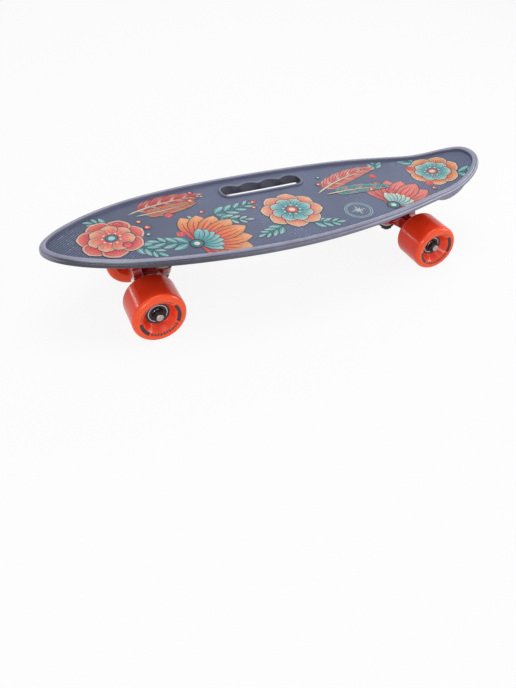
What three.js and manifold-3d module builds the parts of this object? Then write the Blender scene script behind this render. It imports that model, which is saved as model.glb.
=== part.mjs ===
// A small moulded cruiser skateboard, in millimetres.
// +X runs from the nose to the tail, +Y towards the side with the hand slot, and +Z is up.
// The origin is on the ground, under the middle of the deck.

import * as THREE from 'three';
import { mergeVertices } from 'three/addons/utils/BufferGeometryUtils.js';
import Module from 'manifold-3d';

const wasm = await Module();
wasm.setup();

// Gaps between pieces, and how far a cut runs past what it cuts
const fitGap = 0.3;
const seatGap = 0.1;
const overrun = 3;

// Where the trucks stand, from bolt pattern to bolt pattern
const truckSpacing = 335.6;

// Deck outline: u runs along the deck from the middle between the trucks
const noseOverhang = 116.1;
const tailOverhang = 115.7;
const deckWidth = 167;
const outlineShares = [0.92, 0.97, 1.03, 1.02, 1, 0.96, 0.91, 1.04, 1.27];
const outlineStations = 32;
const nudgeShare = 0.1;

// Deck section
const plateThickness = 4;
const padDepth = 11.4;
const sag = 2.9;
const kickMargin = 31.7;
const kickRadius = 143;

// Rim, as a bead that stands above the deck's top face
const rimWidth = 7.1;
const rimHeight = 3.6;
const rimSideHeight = 1.6;
const rimUndercut = 2;
const rimSideDrop = 2.4;
const rimGrooveDepth = 0.7;
const beadShares = [[1, 0], [0.86, 0.75], [0.64, 1], [0.38, 0.94]];
const grooveShare = 0.26;
const grooveRiseShare = 0.8;
const ledgeShare = 0.06;

// Ribs under the deck
const ribDepth = 11;
const ribThickness = 3;
const ribPitch = 50;
const ribRows = 4;
const ribInset = 16;
const ribNoseMargin = 33.9;
const padMargin = 3;
const padCorner = 8;

// Skid block under the tail
const skidLength = 58;
const skidTailMargin = 39.5;
const skidInset = 2.5;
const skidDepth = 10.5;
const skidShares = [[0, 0], [0, 0.65], [1, 1]];
const skidFullnessShare = 0.5;
const skidSteps = 8;

// Hand slot with its finger scallops
const slotMiddle = -8;
const slotLength = 106.4;
const slotNear = 38.4;
const slotFar = 62;
const slotFloorFar = 56.5;
const slotCorner = 9;
const scallopCount = 4;
const scallopPitch = 28;
const scallopRadius = 17;
const scallopSteps = 8;
const cuspWidth = 7;
const lipWidth = 3.2;
const lipHeight = 2.4;
const slotWallDepth = 6.8;
const lipFootShare = 0.55;
const lipCrestShares = [0.7, 0.3];

// Trucks
const truckHeight = 52;
const boltSpacingX = 58.5;
const boltSpacingY = 42.5;
const plateEndMargin = 11.75;
const plateSideMargin = 6.25;
const baseThickness = 5;
const baseCorner = 7;
const axleOffset = 12.8;
const ringOffset = 24.8;
const ringRise = 9.3;
const kingpinLean = THREE.MathUtils.degToRad(7);
const steerRake = THREE.MathUtils.degToRad(35);

// Kingpin and what it clamps
const kingpinRadius = 4;
const kingpinHeadFlats = 13;
const kingpinHeadHeight = 6;
const kingpinHeadSink = 1.5;
const kingpinEnd = 0.8;
const kingpinNutHeight = 6.3;
const cupWasherThickness = 1.6;
const cupRimHeight = 1;
const cupRimThickness = 1.1;
const lowerBushingRadius = 8.8;
const lowerBushingHeight = 7.4;
const upperBushingRadius = 10.1;
const upperBushingHeight = 15;
const upperBushingBulge = 0.5;
const kingpinBossRadius = 13;
const kingpinBossFlare = 1.5;

// Hanger
const hangerHalf = 41.25;
const barrelRadius = 9.8;
const barrelEndRadius = 7.2;
const barrelWaistShare = 0.6;
const ringRadius = 12.6;
const ringFootRadius = 11.8;
const ringHeight = 11;
const ringWeb = 3.4;
const ringEdge = 1;
const ringWall = 2.5;
const ringBore = 7;
const steerRoom = 2.6;
const wingHalf = 31;
const wingThickness = 11;
const wingTip = 8;
const wingFootShare = 0.6;
const wingWaistShare = 0.36;
const wingBendShare = 0.25;
const gussetHalf = 4.5;
const bridgeDropShare = 0.75;
const bridgeWaistShare = 0.5;
const bridgeBendShare = 0.5;

// Pivot
const pivotMouth = 39.4;
const pivotNoseRadius = 5.5;
const pivotNoseLength = 10;
const pivotNeckRadius = 8;
const pivotNeckLength = 11;
const pivotCupWall = 2.7;
const pivotCupFloor = 2;
const pivotBossWall = 2.7;
const pivotBossLength = 22;
const pivotEdge = 2;
const spineHalf = 9;
const spineDrop = 8;

// Axle, bearings and nuts
const axleRadius = 4;
const axleProtrusion = 1.75;
const axleChamfer = 0.6;
const bearingRadius = 11;
const bearingInnerRadius = 5.9;
const bearingWidth = 7;
const spacerLength = 10;
const spacerRadius = 5.2;
const speedWasherThickness = 1;
const speedWasherRadius = 5.5;
const axleNutFlats = 12.7;
const axleNutHeight = 6.5;

// Wheels
const wheelRadius = 30;
const wheelWidth = 45;
const lipRadius = 5.5;
const faceInnerRadius = 19.2;
const faceDish = 1.6;
const recessFloorRadius = 13.2;
const shoulderRadius = 9;

// Deck bolts and nuts
const boltRadius = 2.4;
const boltHeadRadius = 4.9;
const boltHeadProud = 0.2;
const boltLength = 25;
const driveLength = 5.4;
const driveWidth = 1.1;
const driveDepth = 1.8;
const boltNutFlats = 8.7;
const boltNutHeight = 5.5;

// Sides of the round pieces
const wheelSides = 26;
const largeSides = 18;
const mediumSides = 14;
const smallSides = 10;
const hexSides = 6;

// Places worked out from the sizes above
const deckNose = truckSpacing / 2 + noseOverhang;
const deckTail = truckSpacing / 2 + tailOverhang;
const kickStart = truckSpacing / 2 + kickMargin;
const ribNoseEnd = deckNose - ribNoseMargin;
const skidEnd = deckTail - skidTailMargin;
const skidStart = skidEnd - skidLength;
const plateLength = boltSpacingX + 2 * plateEndMargin;
const plateWidth = boltSpacingY + 2 * plateSideMargin;
const padTop = wheelRadius + truckHeight + seatGap;
const deckTop = padTop + padDepth;
const outlineMiddle = (deckTail - deckNose) / 2;
const outlineHalf = (deckTail + deckNose) / 2;
const bearingFace = spacerLength / 2 + bearingWidth;
const wheelOffset = hangerHalf + speedWasherThickness + bearingFace;
const sleeveEnd = bearingFace + speedWasherThickness;
const axleHalf = wheelOffset + sleeveEnd + seatGap + axleNutHeight + axleProtrusion;
const axlePlace = new THREE.Vector3(-axleOffset, 0, -truckHeight);
const ringDrop = truckHeight - ringRise;
const ringPlace = new THREE.Vector3(ringOffset - axleOffset, 0, -ringDrop);
const upperSeatRadius = upperBushingRadius + upperBushingBulge;
const lowerSeatRadius = lowerBushingRadius + fitGap;
const upperWasherRadius = upperBushingRadius + fitGap + cupRimThickness;
const lowerWasherRadius = lowerSeatRadius + cupRimThickness;
const lowerBushingTop = -ringWeb / 2 - seatGap;
const lowerWasherTop = lowerBushingTop - lowerBushingHeight - seatGap;
const kingpinNutTop = lowerWasherTop - cupWasherThickness - seatGap;
const kingpinTip = kingpinNutTop - kingpinNutHeight - kingpinEnd;
const upperBushingBase = ringWeb / 2 + seatGap;
const upperWasherBase = upperBushingBase + upperBushingHeight + seatGap;
const kingpinBossFace = upperWasherBase + cupWasherThickness + seatGap;
const kingpinHeadRadius = kingpinHeadFlats / 2 / Math.cos(Math.PI / hexSides);
const headDrop = kingpinHeadSink + kingpinHeadRadius * Math.sin(kingpinLean);
const kingpinHeadTop = (ringDrop - headDrop) / Math.cos(kingpinLean);
const pivotCupRadius = pivotNoseRadius + fitGap + pivotCupWall;
const pivotBossRadius = pivotCupRadius + fitGap + pivotBossWall;
const pivotCupDepth = pivotNoseLength + fitGap + pivotCupFloor;

// Directions of the two tilted frames of a truck, with local Z along the kingpin and the steering axis
const kingpinTurn = kingpinLean;
const steerTurn = steerRake - Math.PI / 2;
const kingpinFrame = new THREE.Matrix4().makeRotationY(kingpinTurn).setPosition(ringPlace);
const steerFrame = new THREE.Matrix4().makeRotationY(steerTurn).setPosition(ringPlace);

const materials = {
  deck: new THREE.MeshStandardMaterial({ color: 0x71748f, roughness: 0.55 }),
  truck: new THREE.MeshStandardMaterial({ color: 0x8c1216, roughness: 0.3, metalness: 0.3 }),
  wheel: new THREE.MeshStandardMaterial({ color: 0xf0411c, roughness: 0.2 }),
  bushing: new THREE.MeshStandardMaterial({ color: 0xe9ddd2, roughness: 0.5 }),
  cup: new THREE.MeshStandardMaterial({ color: 0x242226, roughness: 0.6 }),
  blackSteel: new THREE.MeshStandardMaterial({ color: 0x1d1b20, roughness: 0.35, metalness: 0.8 }),
  steel: new THREE.MeshStandardMaterial({ color: 0xb9bcc2, roughness: 0.3, metalness: 1 }),
  bolt: new THREE.MeshStandardMaterial({ color: 0xc8322e, roughness: 0.35, metalness: 0.4 }),
};

// A geometry that keeps only its positions, with shared corners merged and no flat slivers
function welded(geometry) {
  const bare = geometry.clone();
  bare.deleteAttribute('normal');
  bare.deleteAttribute('uv');
  const merged = mergeVertices(bare);
  const kept = [];
  for (let i = 0; i < merged.index.count; i += 3) {
    const [a, b, c] = [0, 1, 2].map((k) => merged.index.getX(i + k));
    if (a !== b && b !== c && c !== a) kept.push(a, b, c);
  }
  merged.setIndex(kept);
  return merged;
}

// A solid for cutting and joining, from a closed geometry and an optional placing matrix
function solid(geometry, matrix) {
  const merged = welded(geometry);
  if (matrix) merged.applyMatrix4(matrix);
  return new wasm.Manifold(new wasm.Mesh({
    numProp: 3,
    vertProperties: new Float32Array(merged.attributes.position.array),
    triVerts: new Uint32Array(merged.index.array),
  }));
}

function geometryOf(body) {
  const { vertProperties, triVerts } = body.getMesh();
  const geometry = new THREE.BufferGeometry();
  geometry.setAttribute('position', new THREE.BufferAttribute(vertProperties, 3));
  geometry.setIndex(new THREE.BufferAttribute(triVerts, 1));
  return geometry;
}

function named(name, shape, material) {
  const geometry = shape.isBufferGeometry ? welded(shape) : geometryOf(shape);
  geometry.computeVertexNormals();
  const mesh = new THREE.Mesh(geometry, material);
  mesh.name = name;
  return mesh;
}

function joined(bodies) {
  return bodies.reduce((whole, body) => whole.add(body));
}

function cutBy(body, tools) {
  return tools.reduce((rest, tool) => rest.subtract(tool), body);
}

// A solid of revolution about Z, or about Y, from a closed outline of [radius, place] pairs.
// A flat of the many-sided round faces straight down.
function turned(outline, sides, axis = 'z') {
  const points = outline.map(([r, a]) => new THREE.Vector2(r, a));
  if (THREE.ShapeUtils.area(points) < 0) points.reverse();
  points.push(points[0].clone());
  const geometry = new THREE.LatheGeometry(points, sides, Math.PI / sides);
  if (axis === 'z') geometry.rotateX(Math.PI / 2);
  return geometry;
}

// How much a many-sided round must grow for its flats, not its corners, to reach the radius
function flatsAt(sides) {
  return 1 / Math.cos(Math.PI / sides);
}

// A round cutting tool from one place to another, no tighter than its radius
function drill(radius, from, to, sides, axis = 'z') {
  const r = radius * flatsAt(sides);
  return turned([[0, from], [r, from], [r, to], [0, to]], sides, axis);
}

function box(x0, x1, y0, y1, z0, z1) {
  const geometry = new THREE.BoxGeometry(x1 - x0, y1 - y0, z1 - z0);
  return geometry.translate((x0 + x1) / 2, (y0 + y1) / 2, (z0 + z1) / 2);
}

function roundedRectangle(length, width, corner) {
  const [x, y] = [length / 2, width / 2];
  const shape = new THREE.Shape();
  shape.moveTo(-x + corner, -y);
  shape.lineTo(x - corner, -y);
  shape.absarc(x - corner, -y + corner, corner, -Math.PI / 2, 0);
  shape.lineTo(x, y - corner);
  shape.absarc(x - corner, y - corner, corner, 0, Math.PI / 2);
  shape.lineTo(-x + corner, y);
  shape.absarc(-x + corner, y - corner, corner, Math.PI / 2, Math.PI);
  shape.lineTo(-x, -y + corner);
  shape.absarc(-x + corner, -y + corner, corner, Math.PI, Math.PI * 1.5);
  return shape;
}

// A flat shape in X and Y made thick from one height to another
function slab(shape, from, to, curveSegments = 4) {
  const settings = { depth: to - from, bevelEnabled: false, curveSegments };
  return new THREE.ExtrudeGeometry(shape, settings).translate(0, 0, from);
}

// A side view in X and Z made thick across Y
function sideSlab(points, half) {
  const shape = new THREE.Shape(points.map((p) => new THREE.Vector2(p.x, p.z)));
  return slab(shape, -half, half).rotateX(Math.PI / 2);
}

// A closed skin over loops of points that lie above one another, the highest first.
// Each loop runs along one side and back along the other, so opposite points pair up across it.
function layered(loops, ring = false) {
  const count = loops[0].length;
  const index = [];
  const last = loops.length - 1;
  for (let k = 0; k < (ring ? loops.length : last); k += 1) {
    const [upper, lower] = [k * count, ((k + 1) % loops.length) * count];
    for (let i = 0; i < count; i += 1) {
      const next = (i + 1) % count;
      index.push(upper + i, lower + i, lower + next, upper + i, lower + next, upper + next);
    }
  }
  for (let i = 0; !ring && i < count / 2 - 1; i += 1) {
    const [a, b, c, d] = [i, i + 1, count - 2 - i, count - 1 - i];
    index.push(a, b, c, a, c, d);
    const low = last * count;
    index.push(low + a, low + c, low + b, low + a, low + d, low + c);
  }
  const geometry = new THREE.BufferGeometry().setFromPoints(loops.flat());
  geometry.setIndex(index);
  return geometry;
}

// Deck

// Half the outline at an angle from nose (0) to tail (pi)
function outlinePoint(angle) {
  const shares = outlineShares.map((share, i) => new THREE.Vector2(i, share));
  const share = new THREE.SplineCurve(shares).getPoint(angle / Math.PI).y;
  const endAngle = Math.PI / 2 / outlineStations;
  const u = outlineMiddle - (outlineHalf * Math.cos(angle)) / Math.cos(endAngle);
  return new THREE.Vector2(u, (deckWidth / 2) * share * Math.sin(angle));
}

// The outline's point at a station, moved in by an inset square to the outline
function insetPoint(station, inset) {
  const angle = (Math.PI * (station + 0.5)) / outlineStations;
  const nudge = (Math.PI / outlineStations) * nudgeShare;
  const along = outlinePoint(angle + nudge).sub(outlinePoint(angle - nudge)).normalize();
  const point = outlinePoint(angle);
  return new THREE.Vector2(point.x + along.y * inset, point.y - along.x * inset);
}

// Half the deck's width at u, less an inset square to the outline
function halfWidthAt(u, inset) {
  const angle = Math.acos((outlineMiddle - u) / outlineHalf);
  const nudge = (Math.PI / outlineStations) * nudgeShare;
  const [before, after] = [outlinePoint(angle - nudge), outlinePoint(angle + nudge)];
  const slope = (after.y - before.y) / (after.x - before.x);
  return outlinePoint(angle).y - inset * Math.hypot(1, slope);
}

function sagAt(u) {
  if (Math.abs(u) > kickStart) return 0;
  return sag * Math.cos((Math.PI * u) / (2 * kickStart)) ** 2;
}

// A point of the flat deck, at a height over its top face, on the sagged and kicked deck
function deckPoint(u, y, height) {
  if (u <= kickStart) return new THREE.Vector3(u, y, deckTop - sagAt(u) + height);
  const angle = (u - kickStart) / kickRadius;
  const reach = kickRadius - height;
  const [x, z] = [kickStart + reach * Math.sin(angle), deckTop + kickRadius - reach * Math.cos(angle)];
  return new THREE.Vector3(x, y, z);
}

// A loop along the side at -Y and back along the side at +Y, from pairs of [u, near, far, height]
function deckLoop(rows) {
  const near = rows.map(([u, low, , height]) => deckPoint(u, low, height));
  const far = rows.map(([u, , high, height]) => deckPoint(u, high, height));
  return [...near, ...far.reverse()];
}

function rimLoop(inset, height) {
  const rows = [];
  for (let i = 0; i < outlineStations; i += 1) {
    const point = insetPoint(i, inset);
    rows.push([point.x, -point.y, point.y, height]);
  }
  return deckLoop(rows);
}

// The moulded plate with its rim: from the foot of the bead over its crest and round to the underside
function deckShell() {
  return layered([
    ...beadShares.map(([across, up]) => rimLoop(rimWidth * across, rimHeight * up)),
    rimLoop(rimWidth * grooveShare, rimSideHeight * grooveRiseShare),
    rimLoop(rimWidth * ledgeShare, rimSideHeight),
    rimLoop(0, rimSideHeight - rimGrooveDepth),
    rimLoop(0, -rimSideDrop),
    rimLoop(rimUndercut, -plateThickness),
  ]);
}

function evenly(from, to, steps) {
  return Array.from({ length: steps + 1 }, (_, i) => from + ((to - from) * i) / steps);
}

// The block that the ribs are left standing from, or the room inside its outer wall
function ribBlock(inset, nose, tail, top, bottom) {
  const steps = Math.round((tail - nose) / ribPitch);
  const rowsAt = (height) => evenly(nose, tail, steps).map((u) => {
    const half = halfWidthAt(u, inset);
    return [u, -half, half, height];
  });
  return layered([deckLoop(rowsAt(top)), deckLoop(rowsAt(bottom))]);
}

// One open pocket between four ribs
function pocket(u0, u1, y0, y1) {
  const rows = (height) => [[u0, y0, y1, height], [u1, y0, y1, height]];
  return layered([deckLoop(rows(-overrun / 2)), deckLoop(rows(-ribDepth - overrun))]);
}

function ribs() {
  const block = solid(ribBlock(ribInset, -ribNoseEnd, kickStart, -plateThickness / 2, -ribDepth));
  const inner = ribInset + ribThickness;
  const [nose, tail] = [-ribNoseEnd + ribThickness, kickStart - ribThickness];
  const room = solid(ribBlock(inner, nose, tail, 0, -ribDepth - overrun));
  const columns = Math.round((tail - nose) / ribPitch);
  const us = evenly(nose - ribThickness / 2, tail + ribThickness / 2, columns);
  const ys = evenly(-deckWidth / 2, deckWidth / 2, ribRows);
  const half = ribThickness / 2;
  const pockets = [];
  for (let i = 0; i < columns; i += 1) {
    for (let k = 0; k < ribRows; k += 1) {
      pockets.push(solid(pocket(us[i] + half, us[i + 1] - half, ys[k] + half, ys[k + 1] - half)));
    }
  }
  return block.subtract(joined(pockets).intersect(room));
}

// The footprint of a truck's block under the deck, from one height to another
function padSlab(centre, from, to) {
  const shape = roundedRectangle(plateLength + 2 * padMargin, plateWidth + 2 * padMargin, padCorner);
  return slab(shape, from, to, 3).translate(centre, 0, 0);
}

// The solid block that carries a truck, flat underneath
function truckPad(centre) {
  return solid(padSlab(centre, padTop, deckTop - plateThickness / 2));
}

// The room for a truck under its block, where no rib may hang
function truckRoom(centre) {
  return solid(padSlab(centre, padTop - ribDepth, padTop));
}

function skid() {
  const us = evenly(skidStart, skidEnd, skidSteps);
  const loops = skidShares.map(([inShare, depthShare]) => deckLoop(us.map((u) => {
    const bulge = skidDepth * Math.sin((Math.PI * (u - skidStart)) / skidLength) ** skidFullnessShare;
    const half = halfWidthAt(u, skidInset + inShare * skidInset);
    return [u, -half, half, -plateThickness / 2 - depthShare * bulge];
  })));
  return layered(loops);
}

// Hand slot

// Rows of [u, near, far] round the slot, grown on all sides by an amount, with rounded scallop points
function slotRows(grow) {
  const end = slotLength / 2 + grow;
  const endRadius = slotLength / 2 - (scallopPitch * (scallopCount - 1)) / 2 + grow;
  const centres = evenly(0, scallopCount - 1, scallopCount - 1)
    .map((i) => (i - (scallopCount - 1) / 2) * scallopPitch);
  const near = (x) => {
    const into = Math.max(slotCorner + grow - (end - Math.abs(x)), 0);
    return slotNear + slotCorner - Math.sqrt((slotCorner + grow) ** 2 - into ** 2);
  };
  const far = (x) => {
    const centre = centres.reduce((best, c) => (Math.abs(c - x) < Math.abs(best - x) ? c : best));
    const outside = Math.abs(x) > Math.abs(centre) && Math.abs(centre) === centres[scallopCount - 1];
    const radius = outside ? endRadius : scallopRadius + grow;
    const offset = Math.abs(x - centre);
    const flank = (scallopPitch - cuspWidth) / 2;
    const into = outside ? 0 : Math.max(offset - flank, 0);
    const slope = flank / Math.sqrt((scallopRadius + grow) ** 2 - flank ** 2);
    const fall = radius - Math.sqrt(Math.max(radius ** 2 - (offset - into) ** 2, 0));
    return slotFar + grow - fall - slope * (into - into ** 2 / cuspWidth);
  };
  const ends = evenly(0, Math.PI / 2, 4).map((angle) => end - endRadius * (1 - Math.cos(angle)));
  const spans = (scallopCount - 1) * scallopSteps;
  const middle = evenly(centres[0], centres[scallopCount - 1], spans).slice(1, -1);
  const xs = [...ends.map((x) => -x), ...middle, ...ends.reverse()];
  return xs.map((x) => [slotMiddle + x, near(x), far(x)]);
}

function slotLoop(grow, height, farLimit = Infinity) {
  return deckLoop(slotRows(grow).map(([u, near, far]) => [u, near, Math.min(far, farLimit), height]));
}

// The lip and wall round the slot, whose scallops run out into a straight edge lower down
function slotWall() {
  return layered([
    slotLoop(0, lipHeight * lipFootShare),
    slotLoop(0, -slotWallDepth, slotFloorFar),
    slotLoop(lipWidth, -slotWallDepth),
    slotLoop(lipWidth, lipHeight * lipFootShare),
    ...lipCrestShares.map((share) => slotLoop(lipWidth * share, lipHeight)),
  ].reverse(), true);
}

function slotPlug() {
  return layered([slotLoop(lipWidth / 2, overrun), slotLoop(lipWidth / 2, -ribDepth - overrun)]);
}

// Deck bolts

function boltPlaces() {
  const places = [];
  for (const truck of [-1, 1]) {
    for (const along of [-1, 1]) {
      for (const side of [-1, 1]) {
        const x = (truck * truckSpacing) / 2 + (along * boltSpacingX) / 2;
        places.push({ truck, along, side, x, y: (side * boltSpacingY) / 2 });
      }
    }
  }
  return places;
}

function boltName(place) {
  const end = place.truck < 0 ? 'front' : 'rear';
  const row = place.along < 0 ? 'fore' : 'aft';
  const hand = place.side < 0 ? 'left' : 'right';
  return `${end}_${row}_${hand}`;
}

function headTop(place) {
  return deckPoint(place.x, place.y, boltHeadProud).z;
}

// The countersunk hole for a bolt, in the deck
function boltHole(place) {
  const top = headTop(place);
  const grow = flatsAt(smallSides);
  const [head, shank] = [(boltHeadRadius + fitGap) * grow, (boltRadius + fitGap) * grow];
  const waist = top - boltHeadRadius + boltRadius;
  const outline = [[0, top + overrun], [head, top + overrun], [head, top], [shank, waist]];
  outline.push([shank, padTop - overrun], [0, padTop - overrun]);
  return turned(outline, smallSides).translate(place.x, place.y, 0);
}

function bolt(place) {
  const top = headTop(place);
  const waist = top - boltHeadRadius + boltRadius;
  const outline = [[0, top], [boltHeadRadius, top], [boltRadius, waist]];
  outline.push([boltRadius, top - boltLength], [0, top - boltLength]);
  const [half, thin] = [driveLength / 2, driveWidth / 2];
  const slots = [
    solid(box(-half, half, -thin, thin, top - driveDepth, top + overrun)),
    solid(box(-thin, thin, -half, half, top - driveDepth, top + overrun)),
  ];
  return cutBy(solid(turned(outline, smallSides)), slots);
}

// A hexagon nut that stands on its base height
function hexNut(flats, height, bore, base) {
  const outer = turned([[0, base], [flats / 2 * flatsAt(hexSides), base],
    [flats / 2 * flatsAt(hexSides), base + height], [0, base + height]], hexSides);
  return solid(outer).subtract(solid(drill(bore, base - overrun, base + height + overrun, smallSides)));
}

function deck() {
  const centres = [-truckSpacing / 2, truckSpacing / 2];
  const under = cutBy(joined([ribs(), solid(skid()), ...centres.map(truckPad)]), centres.map(truckRoom));
  const body = joined([solid(deckShell()), under]).subtract(solid(slotPlug()));
  return cutBy(body.add(solid(slotWall())), boltPlaces().map((place) => solid(boltHole(place))));
}

// Trucks: each is modelled from the middle of its bolt pattern, on the top face of its baseplate,
// with +X towards the middle of the deck

// A point of a tilted frame's middle plane: across it and along its axis
function inFrame(frame, across, along) {
  return new THREE.Vector3(across, 0, along).applyMatrix4(frame);
}

// Side view of the web that joins the pivot boss, the kingpin boss and the plate
function spineOutline() {
  const low = -baseThickness - spineDrop;
  const mouth = inFrame(steerFrame, -pivotBossRadius / 2, pivotMouth + seatGap);
  const inner = inFrame(steerFrame, pivotBossRadius / 2, pivotMouth + seatGap);
  const face = inFrame(kingpinFrame, -kingpinBossRadius / 2, kingpinBossFace);
  const edge = inFrame(kingpinFrame, kingpinBossRadius / 2, kingpinBossFace);
  const points = [new THREE.Vector3(-plateLength / 2, 0, -baseThickness / 2), mouth, inner];
  points.push(new THREE.Vector3((inner.x + ringPlace.x) / 2, 0, low), face, edge);
  points.push(new THREE.Vector3(plateLength / 2, 0, -baseThickness / 2));
  return points;
}

function baseplate() {
  const footprint = roundedRectangle(plateLength, plateWidth, baseCorner);
  const bossEnd = kingpinHeadTop;
  const kingpinBoss = [[0, kingpinBossFace], [kingpinBossRadius, kingpinBossFace],
    [kingpinBossRadius + kingpinBossFlare, bossEnd], [0, bossEnd]];
  const pivotEnd = pivotMouth + pivotBossLength;
  const pivotBoss = [[0, pivotMouth], [pivotBossRadius, pivotMouth],
    [pivotBossRadius, pivotEnd], [0, pivotEnd]];
  const bosses = joined([
    solid(sideSlab(spineOutline(), spineHalf)),
    solid(turned(kingpinBoss, largeSides), kingpinFrame),
    solid(turned(pivotBoss, largeSides), steerFrame),
  ]).intersect(solid(slab(footprint, -truckHeight, -baseThickness / 2)));
  const body = solid(slab(footprint, -baseThickness, 0)).add(bosses);
  const seat = kingpinHeadTop - kingpinHeadHeight - seatGap;
  const wellEnd = kingpinHeadTop + truckHeight;
  const tools = [
    solid(drill(kingpinRadius + fitGap, 0, kingpinHeadTop, mediumSides), kingpinFrame),
    solid(drill(kingpinHeadRadius + fitGap, seat, wellEnd, mediumSides), kingpinFrame),
    solid(drill(pivotCupRadius + fitGap, 0, pivotMouth + pivotCupDepth + seatGap, mediumSides), steerFrame),
  ];
  for (const x of [-boltSpacingX / 2, boltSpacingX / 2]) {
    for (const y of [-boltSpacingY / 2, boltSpacingY / 2]) {
      const hole = drill(boltRadius + fitGap, -baseThickness - overrun, overrun, smallSides);
      tools.push(solid(hole.translate(x, y, 0)));
    }
  }
  return cutBy(body, tools);
}

// The cast triangle between the axle barrel and the pivot, flush with the barrel's outer side
function wing() {
  const foot = axlePlace.clone();
  foot.x -= barrelRadius - wingThickness / 2;
  const reach = inFrame(steerFrame, 0, pivotMouth).sub(foot);
  const height = reach.length();
  const base = barrelRadius * wingFootShare;
  const [waist, bend] = [wingHalf * wingWaistShare, height * wingBendShare];
  const shape = new THREE.Shape();
  shape.moveTo(-wingHalf, -base);
  shape.lineTo(wingHalf, -base);
  shape.lineTo(wingHalf, base);
  shape.quadraticCurveTo(waist, bend, wingTip, height);
  shape.lineTo(-wingTip, height);
  shape.quadraticCurveTo(-waist, bend, -wingHalf, base);
  const geometry = slab(shape, -wingThickness / 2, wingThickness / 2);
  geometry.applyMatrix4(new THREE.Matrix4().makeBasis(
    new THREE.Vector3(0, 1, 0),
    reach.clone().normalize(),
    new THREE.Vector3(0, 1, 0).cross(reach).normalize(),
  ).setPosition(foot));
  return solid(geometry);
}

// Side view of the rib between the ring and the wing
function gussetOutline() {
  const half = ringHeight / 2 - ringEdge;
  return [
    inFrame(kingpinFrame, ringWall - ringRadius, half),
    inFrame(steerFrame, 0, pivotMouth - pivotNeckLength / 2),
    axlePlace.clone(),
    inFrame(kingpinFrame, ringWall - ringRadius, -half),
  ];
}

// The web that ties the ring to the barrel, drawn in from the barrel's ends to the ring
function bridge() {
  const half = ringHeight / 2 - ringEdge;
  const drop = new THREE.Vector3(0, 0, barrelRadius * bridgeDropShare);
  const side = sideSlab([
    inFrame(kingpinFrame, ringWall - ringRadius, half),
    axlePlace.clone().add(drop),
    axlePlace.clone().sub(drop),
    inFrame(kingpinFrame, 0, -half),
  ], wingHalf);
  const bend = THREE.MathUtils.lerp(axlePlace.x, ringPlace.x, bridgeBendShare);
  const [waist, end] = [wingHalf * bridgeWaistShare, ringFootRadius - ringEdge];
  const plan = new THREE.Shape();
  plan.moveTo(axlePlace.x, -wingHalf);
  plan.quadraticCurveTo(bend, -waist, ringPlace.x, -end);
  plan.lineTo(ringPlace.x, end);
  plan.quadraticCurveTo(bend, waist, axlePlace.x, wingHalf);
  return solid(side).intersect(solid(slab(plan, -truckHeight - wheelRadius, 0)));
}

function hanger() {
  const half = ringHeight / 2;
  const waist = wingHalf * barrelWaistShare;
  const barrel = turned([[0, -hangerHalf], [barrelEndRadius, -hangerHalf], [barrelRadius, -waist],
    [barrelRadius, waist], [barrelEndRadius, hangerHalf], [0, hangerHalf]], mediumSides, 'y');
  const ring = turned([[0, -half], [ringFootRadius - ringEdge, -half], [ringFootRadius, ringEdge - half],
    [ringRadius, half - ringEdge], [ringRadius - ringEdge / 2, half], [0, half]], largeSides);
  const neck = [[0, pivotMouth - pivotNeckLength], [pivotNeckRadius, pivotMouth - pivotNeckLength],
    [pivotNeckRadius, pivotMouth - 2 * pivotEdge], [pivotNoseRadius, pivotMouth - pivotEdge / 2]];
  const tip = pivotMouth + pivotNoseLength;
  neck.push([pivotNoseRadius, tip - pivotNoseRadius / 2], [pivotNoseRadius / 2, tip], [0, tip]);
  const cast = joined([
    solid(barrel.translate(axlePlace.x, 0, axlePlace.z)),
    solid(ring, kingpinFrame),
    wing(),
    solid(sideSlab(gussetOutline(), gussetHalf)),
    bridge(),
  ]);
  const [trim, end] = [pivotMouth - pivotEdge, pivotMouth + plateLength];
  const above = solid(box(-plateLength, plateLength, -plateWidth, plateWidth, trim, end), steerFrame);
  const pivot = solid(turned(neck, mediumSides), steerFrame);
  const axleHole = drill(axleRadius + fitGap, -axleHalf, axleHalf, smallSides, 'y');
  return cutBy(cast.subtract(above).add(pivot), [
    solid(drill(upperSeatRadius, ringWeb / 2, 2 * ringHeight, largeSides), kingpinFrame),
    solid(drill(lowerSeatRadius, -ringHeight, -ringWeb / 2, largeSides), kingpinFrame),
    solid(drill(lowerWasherRadius + steerRoom, -truckHeight, -half, largeSides), kingpinFrame),
    solid(drill(ringBore, -ringHeight, ringHeight, mediumSides), kingpinFrame),
    solid(axleHole.translate(axlePlace.x, 0, axlePlace.z)),
  ]);
}

function kingpin() {
  const seat = kingpinHeadTop - kingpinHeadHeight;
  const shank = turned([[0, kingpinTip], [kingpinRadius - axleChamfer, kingpinTip],
    [kingpinRadius, kingpinTip + axleChamfer], [kingpinRadius, kingpinHeadTop - axleChamfer],
    [0, kingpinHeadTop - axleChamfer]], mediumSides);
  const head = turned([[0, seat], [kingpinHeadRadius, seat], [kingpinHeadRadius, kingpinHeadTop],
    [0, kingpinHeadTop]], hexSides);
  return solid(shank).add(solid(head));
}

// A cupped washer whose rim stands up round the bushing, or hangs down where facing is -1
function cupWasher(base, facing, radius) {
  const bore = kingpinRadius + fitGap;
  const [foot, top] = facing > 0 ? [base, base + cupWasherThickness] : [base + cupWasherThickness, base];
  const rim = top + facing * cupRimHeight;
  const inner = radius - cupRimThickness;
  return turned([[bore, foot], [radius, foot], [radius, rim], [inner, rim],
    [inner, top], [bore, top]], mediumSides);
}

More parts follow.
